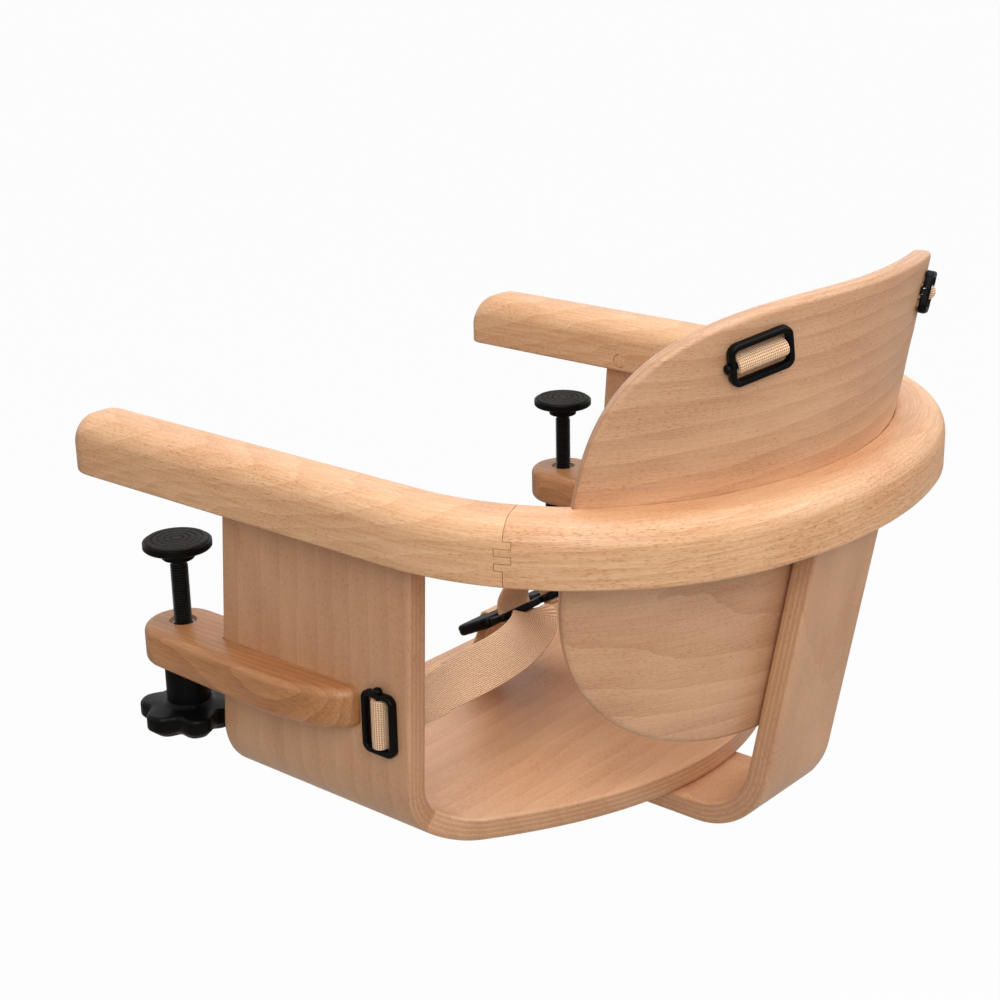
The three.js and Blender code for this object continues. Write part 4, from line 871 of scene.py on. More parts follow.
def shell_rows():
    """Places round the U on its outer side: x, z and the direction into the ply."""
    bend_x, bend_z = HALF_WIDTH - SHELL_BEND, SHELL_BOTTOM + SHELL_BEND
    rows = [(HALF_WIDTH, z, -1, 0) for z in np.linspace(SHEET_TOP, bend_z + 3, 12)]
    rows += [(bend_x + SHELL_BEND * math.cos(a), bend_z - SHELL_BEND * math.sin(a),
              -math.cos(a), math.sin(a)) for a in arc(0, 90, 26)]
    rows += [(x, SHELL_BOTTOM, 0, 1) for x in np.linspace(bend_x, 0, 20)[1:]]
    return rows + [(-x, z, -dx, dz) for x, z, dx, dz in rows[-2::-1]]


def shell_grain(points):
    x, y, z = np.abs(points[:, 0]), points[:, 1], points[:, 2]
    bend_x, bend_z = HALF_WIDTH - SHELL_BEND, SHELL_BOTTOM + SHELL_BEND
    round_bend = np.arctan2(bend_z - z, x - bend_x)
    flat, upright = x <= bend_x, (z >= bend_z) & (x > bend_x)
    along = np.where(flat, x, np.where(upright, bend_x + SHELL_BEND * math.pi / 2 + z - bend_z,
                                       bend_x + SHELL_BEND * (math.pi / 2 - round_bend)))
    depth = np.where(flat, z - SHELL_BOTTOM, np.where(
        upright, HALF_WIDTH - x, SHELL_BEND - np.hypot(x - bend_x, bend_z - z)))
    return np.stack([along * np.sign(points[:, 0]) - 700, y + 20, depth], 1)


print("sections round the shell:", len(shell_rows()))

# %% Seat shell
shell_rings = []
for x, z, dx, dz in shell_rows():
    front = 0.5 + SHELL_LEAN * min(z, 0)
    share = min(abs(x) / SHELL_INNER, 1)
    rear = SHELL_LENGTH + SHELL_REAR_LEAN * min(z, 0) + SEAT_BULGE * (1 - share ** 2)
    shell_rings.append(slab_ring((x, 0, z), (0, 1, 0), (dx, 0, dz),
                                 sheet_section(front, rear, SHELL_PLY, SHEET_EDGE, 12)))
shell_slots = ("side_retainer_left", "side_retainer_right", "crotch_retainer")
shell = cut_away(make_piece("moulded_seat_shell", *skin(shell_rings)),
                 *[slot_tool(name, SHELL_PLY) for name in shell_slots],
                 *[head_tool(*screw) for screw in BAR_SCREWS])
lay_grain(shell, shell_grain)
dress(shell, shell_plywood, "plywood", "chair", "seat_shell")
print("shell vertices:", len(shell.data.vertices))

# %% [markdown]
# The rear strap is a J: a leg that leans with the backrest, a bend, and a foot under the seat. It
# is a stack of slabs again, and the last two are smaller, so the foot's end is rounded all round.

# %% Rear strap
STRAP_BEND, STRAP_WIDTH, STRAP_FRONT = 46, 63, SHELL_LENGTH + SEAT_BULGE - 83.5
LEAN = math.atan(BACK_LEAN)
STRAP_REAR = BACK_REAR_Y + CLEAR + STRAP_PLY / math.cos(LEAN)
STRAP_BEND_Z = STRAP_BOTTOM + STRAP_BEND
STRAP_BEND_Y = STRAP_REAR + BACK_LEAN * STRAP_BEND_Z - STRAP_BEND / math.cos(LEAN)
leg = np.array([0, -math.cos(LEAN), math.sin(LEAN)])
strap_rows = [((0, STRAP_REAR + BACK_LEAN * z, z), leg) for z in np.linspace(SHEET_TOP, -118, 10)]
for a in np.linspace(-LEAN, -math.pi / 2, 26):
    inward = np.array([0, -math.cos(a), -math.sin(a)])
    centre = np.array([0, STRAP_BEND_Y, STRAP_BEND_Z])
    strap_rows.append((centre - STRAP_BEND * inward, inward))
strap_rows += [((0, y, STRAP_BOTTOM), (0, 0, 1)) for y in np.linspace(STRAP_BEND_Y, STRAP_FRONT + 2, 8)[1:]]
strap_section = sheet_section(-STRAP_WIDTH / 2, STRAP_WIDTH / 2, STRAP_PLY, SHEET_EDGE, 8)
strap_rings = [slab_ring(base, (1, 0, 0), deep, strap_section) for base, deep in strap_rows]
end_ring = strap_rings[-1]
middle = end_ring.mean(0)
for smaller, onward in ((0.6, 1.2), (2.0, 2.0)):
    scale = 1 - 2 * smaller / np.array([STRAP_WIDTH, 1e9, STRAP_PLY])
    strap_rings.append(middle + (end_ring - middle) * scale - [0, onward, 0])
strap = cut_away(make_piece("moulded_rear_strap", *skin(strap_rings)),
                 *[head_tool(*screw) for screw in STRAP_SCREWS])


def strap_grain(points):
    y, z = points[:, 1], points[:, 2]
    angle = np.arctan2(STRAP_BEND_Z - z, y - STRAP_BEND_Y)
    on_leg, on_foot = angle < LEAN, y <= STRAP_BEND_Y
    on_leg &= ~on_foot
    run = STRAP_BEND * (angle - LEAN)
    rise = (z - STRAP_BEND_Z) * math.cos(LEAN) + (y - STRAP_BEND_Y) * math.sin(LEAN)
    out = (y - STRAP_BEND_Y) * math.cos(LEAN) - (z - STRAP_BEND_Z) * math.sin(LEAN)
    bend_length = STRAP_BEND * (math.pi / 2 - LEAN)
    along = np.where(on_leg, -rise, np.where(on_foot, bend_length + STRAP_BEND_Y - y, run))
    depth = np.where(on_leg, STRAP_BEND - out, np.where(
        on_foot, z - STRAP_BOTTOM, STRAP_BEND - np.hypot(y - STRAP_BEND_Y, STRAP_BEND_Z - z)))
    return np.stack([along + 1500, points[:, 0] + 7, depth], 1)


lay_grain(strap, strap_grain)
dress(strap, shell_plywood, "plywood", "chair", "rear_strap")
print("strap bend at y", round(STRAP_BEND_Y, 1), "vertices:", len(strap.data.vertices))

# %% [markdown]
# ## Clamp bars
# A solid beech bar on each side carries the clamp screw in its round nose and thins out along the
# shell. Its plan is an outline, and rings of it shrink at top and bottom to round the edges over.

# %% Clamp bars
BAR_NOSE, BAR_THICK, BAR_TAPER = 21.5, 20.5, 55
BAR_END = SHELL_LENGTH - 38.5
SCREW_X, SCREW_Y, BAR_GRIP, BAR_SHOULDER = HALF_WIDTH - 4, -42.3, 21, -22
BAR_FACE, BAR_NOTCH = HALF_WIDTH + CLEAR, 0.5 + SHELL_LEAN * (BAR_TOP - BAR_HEIGHT) - 2 * CLEAR


def clamp_axis(side):
    return place_on((side * SCREW_X, SCREW_Y, 0), (1, 0, 0), (0, 0, 1))


def bar_outline():
    points = [(SHELL_INNER + 8 - 8 * math.cos(a), BAR_END - 8 + 8 * math.sin(a)) for a in arc(0, 90, 6)]
    points += [(BAR_FACE + BAR_THICK * math.sin(a), BAR_END - BAR_TAPER + BAR_TAPER * math.cos(a))
               for a in arc(0, 90, 16)]
    for a in arc(0, -180, 28):
        reach = BAR_NOSE if a > -math.pi / 2 else BAR_GRIP
        points.append((SCREW_X + reach * math.cos(a), SCREW_Y + BAR_NOSE * math.sin(a)))
    points += [(SHELL_INNER + (SHELL_INNER - SCREW_X + BAR_GRIP) * math.cos(a),
                BAR_SHOULDER + (BAR_NOTCH - BAR_SHOULDER) * math.sin(a)) for a in arc(180, 90, 10)]
    return even(np.array(points), 150)[::-1]


print("bar", round(BAR_END - SCREW_Y + BAR_NOSE, 1), "mm long and", BAR_HEIGHT, "mm high")

# %% Plates with rounded rims
def plate_rings(outline, low, high, edge, steps=6):
    """An outline carried from low to high with both rims rounded over."""
    rows = [(edge * (1 - math.sin(a)), low + edge * (1 - math.cos(a))) for a in arc(0, 90, steps)]
    rows += [(amount, high + low - z) for amount, z in rows[::-1]]
    return [np.column_stack([inset(outline, amount), np.full(len(outline), z)]) for amount, z in rows]


bar_data = skin(plate_rings(bar_outline(), BAR_TOP - BAR_HEIGHT, BAR_TOP, 5))
print("points on a bar:", len(bar_data[0]))

# %% Cutting the bars
for side, label in SIDES:
    shape = bar_data if side > 0 else mirror(*bar_data)
    bar = make_piece(f"beech_clamp_bar_{label}", *shape)
    low_x, high_x = sorted((0, side * BAR_FACE))
    notch_rings = []
    for z in (-140, -40):
        front = 0.2 + SHELL_LEAN * z
        notch_rings.append([(low_x, front, z), (high_x, front, z), (high_x, 200, z), (low_x, 200, z)])
    notch = make_piece("tool", *skin(notch_rings))
    bore = turned_piece("tool", [(7.0, -140), (7.0, -81.0), (7.6, -80.2), (7.6, -40)], clamp_axis(side))
    cut_away(bar, notch, bore)
    lay_grain(bar, lambda points: points[:, [1, 0, 2]] + [side * 430, side * 11, 90])
    # Painted shade: the bars take the beech darkened for the shade of the arm and the table top.
    dress(bar, beech_in_painted_shade, "beech", "chair", f"clamp_bar_{label}")
print("bar vertices after the cuts:", len(bar.data.vertices))

# %% [markdown]
# ## Clamp screws, feet and knobs
# The clamp screw is an M10 rod with a pitch of a millimetre and a half. A plain rod would do from
# afar, but the thread catches the light, so it is swept as one ridge winding up a thinner core.

# %% Clamp screws
PITCH, CORE, CREST = 1.5, 4.2, 5.0
HUB_TOP, HUB_DEPTH = -106, 24
SCREW_LOW, SCREW_HIGH = HUB_TOP - HUB_DEPTH + CLEAR, -44.2


def thread_ridge(place, low, high, core, crest, pitch, steps=28):
    rings = []
    total = int((high - low) / pitch * steps)
    for i in range(total + 1):
        angle, z = 2 * math.pi * i / steps, low + pitch * i / steps
        fade = min(1, i / steps, (total - i) / steps)
        tip = core + (crest - core) * fade
        rows = [(core - 0.5, -0.66), (core, -0.62), (tip, -0.12),
                (tip, 0.12), (core, 0.62), (core - 0.5, 0.66)]
        rings.append(at_place(place, [(r * math.cos(angle), r * math.sin(angle), z + dz * pitch / 1.5)
                                      for r, dz in rows]))
    return skin(rings)


print("thread turns:", round((SCREW_HIGH - SCREW_LOW) / PITCH))

# %% Threaded rods
def joined(*shapes):
    points, faces, start = [], [], 0
    for shape_points, shape_faces in shapes:
        if volume_of(shape_points, shape_faces) < 0:
            shape_faces = [face[::-1] for face in shape_faces]
        points.append(shape_points)
        faces += [tuple(start + i for i in face) for face in shape_faces]
        start += len(shape_points)
    return np.concatenate(points), faces


BALL_Z, BALL, NECK = -39.9, 4.9, 3.6
core_profile = [(0, SCREW_LOW), (CORE - 0.4, SCREW_LOW), (CORE + 0.1, SCREW_LOW + 0.5),
                (CORE + 0.1, -44.6), (NECK, -44.0)]
core_profile += [(BALL * math.cos(a), BALL_Z + BALL * math.sin(a)) for a in arc(-42, 88, 10)]
for side, label in SIDES:
    axis = clamp_axis(side)
    thread = thread_ridge(axis, SCREW_LOW + 0.8, SCREW_HIGH - 0.8, CORE, CREST, PITCH)
    rod = make_piece(f"threaded_rod_{label}", *joined(skin(turn(core_profile, axis, 32)), thread))
    dress(rod, black_oxide, "black_steel", f"screw_{label}", f"clamp_screw_{label}")
print("rod", round(BALL_Z + BALL - SCREW_LOW, 1), "mm long with its ball")

# %% [markdown]
# The foot is a moulded cup that snaps on the ball at the screw's end, with a rubber pad pressed
# into it, whose rings grip the table. A zinc-plated sleeve in the bar carries the thread. All
# three are round, so a half profile is turned about the screw's own axis, as on a lathe.

# %% Feet, pads and inserts
PAD_TOP, PAD_BOTTOM, PAD_RADIUS = -31, -33.2, 17.2
FOOT_RADIUS, FOOT_TOP, FOOT_PLATE, FOOT_BOTTOM = 19, -32.2, -36.6, -42.8
SOCKET, RECESS, RECESS_Z = BALL + CLEAR, PAD_RADIUS + CLEAR, -33.5
foot_profile = [(SOCKET * math.cos(a), BALL_Z + SOCKET * math.sin(a)) for a in arc(90, -33, 10)]
foot_profile += [
    (6.2, FOOT_BOTTOM), (8.5, FOOT_BOTTOM), (9, FOOT_BOTTOM + 0.5), (9, FOOT_PLATE - 1.2),
    (10.2, FOOT_PLATE), (FOOT_RADIUS - 0.8, FOOT_PLATE), (FOOT_RADIUS, FOOT_PLATE + 0.8),
    (FOOT_RADIUS, FOOT_TOP - 0.5), (FOOT_RADIUS - 0.5, FOOT_TOP), (RECESS, FOOT_TOP),
    (RECESS, RECESS_Z), (0, RECESS_Z)]
pad_profile = [(0, PAD_BOTTOM), (PAD_RADIUS, PAD_BOTTOM), (PAD_RADIUS, PAD_TOP - 0.5),
               (PAD_RADIUS - 0.5, PAD_TOP)]
for radius in (14, 10.5, 7, 3.5):
    pad_profile += [(radius + 0.6, PAD_TOP), (radius + 0.3, PAD_TOP - 0.5), (radius - 0.3, PAD_TOP - 0.5),
                    (radius - 0.6, PAD_TOP)]
pad_profile += [(0, PAD_TOP)]
insert_profile = [(5.3, -101.7), (6.7, -101.7), (6.7, -81.4), (6.4, -80.9),
                  (5.9, -80.9), (5.3, -81.5), (5.3, -101.6)]
for side, label in SIDES:
    axis = clamp_axis(side)
    foot = turned_piece(f"foot_cup_{label}", foot_profile, axis, 56)
    dress(foot, black_nylon, "black_plastic", f"foot_{label}", f"clamp_foot_{label}")
    pad = turned_piece(f"rubber_pad_{label}", pad_profile, axis, 56)
    dress(pad, soft_rubber, "rubber", f"foot_{label}", f"foot_pad_{label}")
    sleeve = turned_piece(f"screw_insert_{label}", insert_profile, axis)
    dress(sleeve, zinc_plate, "zinc_steel", "chair", f"threaded_insert_{label}")
print("feet across:", 2 * FOOT_RADIUS, "mm")

# %% [markdown]
# The knob has six lobes for the fingers and a tall hub moulded round the screw. A plain circle
# would turn without a sign of turning, so each ring of the skin waves in and out by the lobes.

# %% Knobs
HUB, KNOB_TOP, KNOB_BOTTOM, KNOB_RADIUS, LOBE, RIM_ROUND = 12.3, -128.4, -142, 25.5, 3, 2.5


def knob_ring(centre, radius, lobe, z, count=144):
    ring = []
    for angle in np.linspace(0, 2 * math.pi, count, endpoint=False):
        dip = ((1 - math.cos(6 * angle)) / 2) ** 1.5
        reach = radius + lobe * (1 - 2 * dip)
        ring.append((centre[0] + reach * math.cos(angle), centre[1] + reach * math.sin(angle), z))
    return np.array(ring)


# Each row is a radius, how far the lobes stand out and a height
knob_rows = [
    (5.2, 0, HUB_TOP - HUB_DEPTH), (5.2, 0, HUB_TOP - 0.4), (5.6, 0, HUB_TOP), (HUB - 1, 0, HUB_TOP),
    (HUB - 0.3, 0, HUB_TOP - 0.3), (HUB, 0, HUB_TOP - 1), (HUB, 0, KNOB_TOP + 2.2),
    (HUB + 1.2, 0, KNOB_TOP + 0.7), (HUB + 3, 0.2, KNOB_TOP)]
knob_rows += [(KNOB_RADIUS - RIM_ROUND + RIM_ROUND * math.sin(a), LOBE,
               KNOB_TOP - RIM_ROUND + RIM_ROUND * math.cos(a)) for a in arc(0, 90, 6)]
knob_rows += [
    (KNOB_RADIUS, LOBE, KNOB_BOTTOM + 5.8), (KNOB_RADIUS - 0.4, LOBE, KNOB_BOTTOM + 4.8),
    (KNOB_RADIUS - 5.6, LOBE, KNOB_BOTTOM + 0.5), (KNOB_RADIUS - 6.6, LOBE, KNOB_BOTTOM),
    (14, 0, KNOB_BOTTOM), (13, 0, KNOB_BOTTOM + 1.0), (0.3, 0, KNOB_BOTTOM + 1.0)]
for side, label in SIDES:
    rings = [knob_ring((side * SCREW_X, SCREW_Y), *row) for row in knob_rows]
    knob = make_piece(f"star_knob_{label}", *skin(rings))
    dress(knob, black_nylon, "black_plastic", f"screw_{label}", f"clamp_knob_{label}")
print("knob across lobes:", 2 * (KNOB_RADIUS + LOBE), "mm")

# %% [markdown]
# ## Retainers
# A retainer is a moulded ring with rounded corners that lies on the wood. The webbing comes
# through the slot and goes round a pin in the ring, whose domed head shows beyond one end. The
# ring is one closed skin round its own middle, so its section can be rounded at each corner.

# %% Retainer rings and pins
RING_LENGTH, RING_WIDTH, RING_THICK, RIM, RING_CORNER, RING_EDGE = 34.4, 22, 4.4, 3.2, 5, 1.3


def rounded_outline(length, width, corner, steps=8):
    points = []
    for i, (sx, sy) in enumerate(((1, 1), (-1, 1), (-1, -1), (1, -1))):
        points += [(sx * (length / 2 - corner) + corner * math.cos(a),
                    sy * (width / 2 - corner) + corner * math.sin(a))
                   for a in arc(90 * i, 90 * i + 90, steps)]
    return np.array(points)


def retainer_ring(place):
    outer = rounded_outline(RING_LENGTH, RING_WIDTH, RING_CORNER)
    inner = rounded_outline(RING_LENGTH - 2 * RIM, RING_WIDTH - 2 * RIM, RING_CORNER - RIM)
    low, high, sections = CLEAR + RING_EDGE * 0.5, CLEAR + RING_THICK - RING_EDGE, []
    for o, i in zip(outer, inner):
        rim = np.linalg.norm(o - i)
        ring = []
        for u, z, start in ((rim - RING_EDGE, low, -90), (rim - RING_EDGE, high, 0),
                            (RING_EDGE, high, 90), (RING_EDGE, low, 180)):
            for a in arc(start, start + 90, 5):
                at = i + (o - i) * ((u + RING_EDGE * math.cos(a)) / rim)
                ring.append((*at, z + RING_EDGE * (0.5 if z == low else 1) * math.sin(a)))
        sections.append(at_place(place, ring))
    return skin(sections, wrap=True)

# %% Retainer pins
HEAD, HEAD_Z = 2.6, CLEAR + 2.6


def retainer_pin(place, head_side):
    length = RING_LENGTH / 2
    profile = [(0, 0.4 - length), (PIN_RADIUS, 0.4 - length), (PIN_RADIUS, length + 1)]
    axis = place @ place_on((0, 0, PIN_HEIGHT), (0, 1, 0), (head_side, 0, 0))
    shaft = skin(turn(profile, axis, 28))
    high = place @ place_on((0, 0, HEAD_Z), (0, 1, 0), (head_side, 0, 0))
    dome = [(0, length + 0.3), (HEAD - 0.2, length + 0.3), (HEAD, length + 0.5)]
    dome += [(HEAD * math.cos(a), length + 1.0 + 1.9 * math.sin(a)) for a in arc(0, 88, 8)]
    return joined(shaft, skin(turn(dome, high, 36)))


print("pin", 2 * PIN_RADIUS, "mm thick, head", 2 * HEAD, "mm across")

# %% The five retainers
for name, (place, head_side) in RETAINERS.items():
    ring = make_piece(f"{name}_frame", *retainer_ring(place))
    groove_axis = place @ place_on((0, 0, PIN_HEIGHT), (0, 1, 0), (1, 0, 0))
    groove = [(PIN_RADIUS + CLEAR, -30), (PIN_RADIUS + CLEAR, 30)]
    cut_away(ring, turned_piece("tool", groove, groove_axis, 28))
    dress(ring, black_nylon, "black_plastic", "chair", f"{name}_ring")
    pin = make_piece(f"{name}_bar", *retainer_pin(place, head_side))
    dress(pin, black_nylon, "black_plastic", "chair", f"{name}_pin")
print("retainer rings", RING_LENGTH, "by", RING_WIDTH, "mm:", len(RETAINERS))

# %% [markdown]
# ## Buckle
# Where the straps meet lies a moulded buckle, a flat plate tipped back: a housing with a round bar
# for the crotch strap in front, and two tongues side by side behind it. Each tongue has a window
# that one strap of the harness passes through, so both come undone at the one button.

# %% Buckle
BUCKLE_TILT = math.radians(27)
BUCKLE_MIDDLE = (-7, 52.6, -105.4)
BUCKLE = place_on(BUCKLE_MIDDLE, (1, 0, 0), (0, -math.sin(BUCKLE_TILT), math.cos(BUCKLE_TILT)))
BUCKLE_LENGTH, BUCKLE_FRONT, BUCKLE_REAR, BUCKLE_THICK = 74, 20, 8, 6.5
TONGUE_MIDDLE, TONGUE_WIDTH, TONGUE_DEPTH, TONGUE_THICK, TONGUE_WINDOW, TONGUE_BAR = 19, 36, 13, 4, 6.2, 4.3
BUCKLE_BAR, BUCKLE_BAR_Y = 2.5, 3.5 - BUCKLE_FRONT
TONGUE_BAR_Y = BUCKLE_REAR + CLEAR + TONGUE_DEPTH - TONGUE_BAR
HALF_NOTCH = WEB_WIDTH / 2 + 2 * CLEAR


def placed_plate(name, centre, size, corner, edge, place):
    outline = rounded_outline(size[0], size[1], corner) + centre[:2]
    rings = plate_rings(outline, centre[2] - size[2] / 2, centre[2] + size[2] / 2, edge, 5)
    return make_piece(name, *skin([at_place(place, ring) for ring in rings]))


housing = placed_plate("buckle_box", (0, (BUCKLE_REAR - BUCKLE_FRONT) / 2, 0),
                       (BUCKLE_LENGTH, BUCKLE_FRONT + BUCKLE_REAR, BUCKLE_THICK), 6, 2.0, BUCKLE)
groove = placed_plate("tool", (0, 0, BUCKLE_THICK / 2), (21, 13, 1.4), 4.5, 0.4, BUCKLE)
sockets = [box_tool((x - 9.3, BUCKLE_REAR - 11.3, -2.3), (x + 9.3, 30, 2.3), BUCKLE)
           for x in (-TONGUE_MIDDLE, TONGUE_MIDDLE)]
notch = box_tool((-HALF_NOTCH, -40, -20), (HALF_NOTCH, 8.8 - BUCKLE_FRONT, 20), BUCKLE)
cut_away(housing, notch, *sockets, groove)
dress(housing, black_nylon, "black_plastic", "chair", "buckle_housing")
bar_place = BUCKLE @ place_on((0, BUCKLE_BAR_Y, 0), (0, 1, 0), (1, 0, 0))
bar_profile = [(BUCKLE_BAR, -HALF_NOTCH - 2), (BUCKLE_BAR, HALF_NOTCH + 2)]
buckle_bar = turned_piece("buckle_bar", bar_profile, bar_place, 28)
dress(buckle_bar, black_nylon, "black_plastic", "chair")
button = placed_plate("buckle_button", (0, 0, BUCKLE_THICK / 2 - 0.1), (19.8, 11.8, 1.2), 4, 0.5, BUCKLE)
dress(button, black_nylon, "black_plastic", "chair")
print("buckle corner", np.round(at_place(BUCKLE, (BUCKLE_LENGTH / 2, -BUCKLE_FRONT, 0))[0], 1))

# %% Tongues of the buckle
for side, label in SIDES:
    x = side * TONGUE_MIDDLE
    tongue = placed_plate(f"tongue_{label}", (x, BUCKLE_REAR + CLEAR + TONGUE_DEPTH / 2, 0),
                          (TONGUE_WIDTH, TONGUE_DEPTH, TONGUE_THICK), 4, 1.4, BUCKLE)
    cut_away(tongue, box_tool((x - HALF_NOTCH, TONGUE_BAR_Y - TONGUE_WINDOW, -5),
                              (x + HALF_NOTCH, TONGUE_BAR_Y, 5), BUCKLE))
    dress(tongue, black_nylon, "black_plastic", "chair", f"buckle_tongue_{label}")
    plug = placed_plate(f"tongue_plug_{label}", (x, BUCKLE_REAR - 5, 0), (18, 12, 3.8), 2, 0.8, BUCKLE)
    dress(plug, black_nylon, "black_plastic", "chair")
print("tongue bars at", round(TONGUE_BAR_Y, 1), "mm behind the middle of the buckle")

# %% [markdown]
# ## Webbing
# A strap is a flat strip along a line of places, each with a point and the direction of its width.
# Between a few chosen places a smooth curve carries both on, as real webbing bends and twists
# evenly. The chosen places are those of the solids, so strap and solid lie in the same space.

# %% Smooth runs
def smooth(rows, count, even_knots=False):
    rows = np.asarray(rows, float)
    last = len(rows) - 1
    result = []
    for t in np.linspace(0, 1, count + 1):
        i = min(int(last * t), last - 1)
        w = last * t - i
        p1, p2 = rows[i], rows[i + 1]
        p0 = rows[i - 1] if i > 0 else 2 * rows[0] - rows[1]
        p3 = rows[i + 2] if i + 2 <= last else 2 * rows[-1] - rows[-2]
        if even_knots:
            t1, t2 = (p2 - p0) / 2, (p3 - p1) / 2
        else:
            k0, k1, k2 = (max(np.linalg.norm(b - a), 1e-4) ** 0.5
                          for a, b in ((p0, p1), (p1, p2), (p2, p3)))
            t1 = ((p1 - p0) / k0 - (p2 - p0) / (k0 + k1) + (p2 - p1) / k1) * k1
            t2 = ((p2 - p1) / k1 - (p3 - p1) / (k1 + k2) + (p3 - p2) / k2) * k1
        square, cube = 3 * (p2 - p1) - 2 * t1 - t2, 2 * (p1 - p2) + t1 + t2
        result.append(p1 + t1 * w + square * w ** 2 + cube * w ** 3)
    return np.array(result)


def unit(vector):
    return np.asarray(vector, float) / np.linalg.norm(vector)


def smooth_run(places, count):
    points = smooth([p for p, _ in places], count)
    wides = smooth([w for _, w in places], count, True)
    return [(p, unit(w)) for p, w in zip(points, wides)]


def web_frame(run, i):
    along = unit(run[min(i + 1, len(run) - 1)][0] - run[max(i - 1, 0)][0])
    across = unit(run[i][1] - along * np.dot(run[i][1], along))
    return run[i][0], across, np.cross(along, across)


print("places made of three chosen ones:", len(smooth([(0, 0), (1, 1), (2, 0)], 8)))

# %% [markdown]
# A strap ends in a loop round a pin or bar: half a turn, then a tail that is sewn to the strap
# and so runs close along it. The tail is made from the strap's own places, moved out by a
# thickness, and it eases into that distance as real webbing does.

# %% Loops and sewn tails
PIN_LOOP = PIN_RADIUS + CLEAR + WEB_THICK / 2
BAR_LOOP = BUCKLE_BAR + CLEAR + WEB_THICK / 2
TAIL, SEAM_GAP = 30, 0.5


def direction_in(place, x, y, z):
    return unit(place[:3, :3] @ np.array([x, y, z], float))


def half_turn(place, radius, height, start, wide):
    return [(at_place(place, (0, start * radius * math.cos(a), height + radius * math.sin(a)))[0], wide)
            for a in arc(0, 180, 8)]


def sewn_tail(run, gap, leg_length, towards):
    tail, length, face = [], 0.0, None
    for i in range(len(run)):
        if length >= leg_length + TAIL:
            break
        length += np.linalg.norm(run[i][0] - run[i - 1][0]) if i else 0
        point, _, normal = web_frame(run, i)
        face = normal * np.sign(np.dot(normal, towards if face is None else face))
        share = min(max((length - leg_length) / (TAIL / 2), 0), 1)
        closing = share * share * (3 - 2 * share)
        tail.append((point + face * (gap + (WEB_THICK + SEAM_GAP - gap) * closing), run[i][1]))
    return tail


def slot_leg(place, side, ply, wide):
    heights = np.linspace(PIN_HEIGHT, -ply - 4, 4)[1:]
    return [(at_place(place, (0, side * PIN_LOOP, h))[0], wide) for h in heights]


print("a loop's middle line has a radius of", round(PIN_LOOP, 2), "mm on a pin")

# %% [markdown]
# From the side of the seat the strap hangs forward to the buckle and turns flat on the way, comes
# in under the tongue's rear bar and up through its window, and then rises to the backrest. The
# places on the way are shares of the distance, so they follow when the buckle is moved.

# %% Waist run
TURN_RADIUS, WAIST_APPROACH, WAIST_SAG = 2 * CLEAR + WEB_THICK / 2, 11, 6
# Each row: its shares of the way across, back and of the sag, and the direction of its width
WAIST = [(0.18, 0.08, 0.1, (0.05, -0.15, 0.98)), (0.42, 0.22, 0.5, (0.15, -0.45, 0.88)),
         (0.67, 0.38, 0.8, (0.3, -0.62, 0.72)), (0.85, 0.6, 0.7, (0.6, -0.58, 0.5)),
         (0.96, 0.82, 0.3, (0.9, -0.3, 0.2))]


def waist_run(side, slot_end, on_buckle):
    """From the slot to the underside of the tongue: it hangs 6 mm and turns over on the way."""
    upright, flat = np.array([0, 0, 1.0]), np.array([side, 0, 0.0])
    approach = on_buckle(TONGUE_BAR_Y + WAIST_APPROACH, -TONGUE_THICK / 2 - WEB_THICK)
    run = [(slot_end, upright)]
    for x, y, sag, (wide_x, wide_y, wide_z) in WAIST:
        point = slot_end + (approach - slot_end) * [x, y, x] - [0, 0, WAIST_SAG * sag]
        run.append((point, unit([side * wide_x, wide_y, wide_z])))
    below = -TONGUE_THICK / 2 - TURN_RADIUS
    return run + [(approach, flat), (on_buckle(TONGUE_BAR_Y + TONGUE_BAR, below - CLEAR), flat),
                  (on_buckle(TONGUE_BAR_Y, below), flat)]


print("the waist run has", len(WAIST), "chosen places and sags", WAIST_SAG, "mm")

# %% Routes of the straps
# Shares of the way from the tongue's window to the backrest's slot, and of the twist
SHOULDER = ((0, -0.01, 0.05, 0), (0.02, 0.03, 0.11, 0.1), (0.2, 0.25, 0.3, 0.5),
            (0.5, 0.52, 0.55, 0.9), (0.8, 0.8, 0.81, 1))


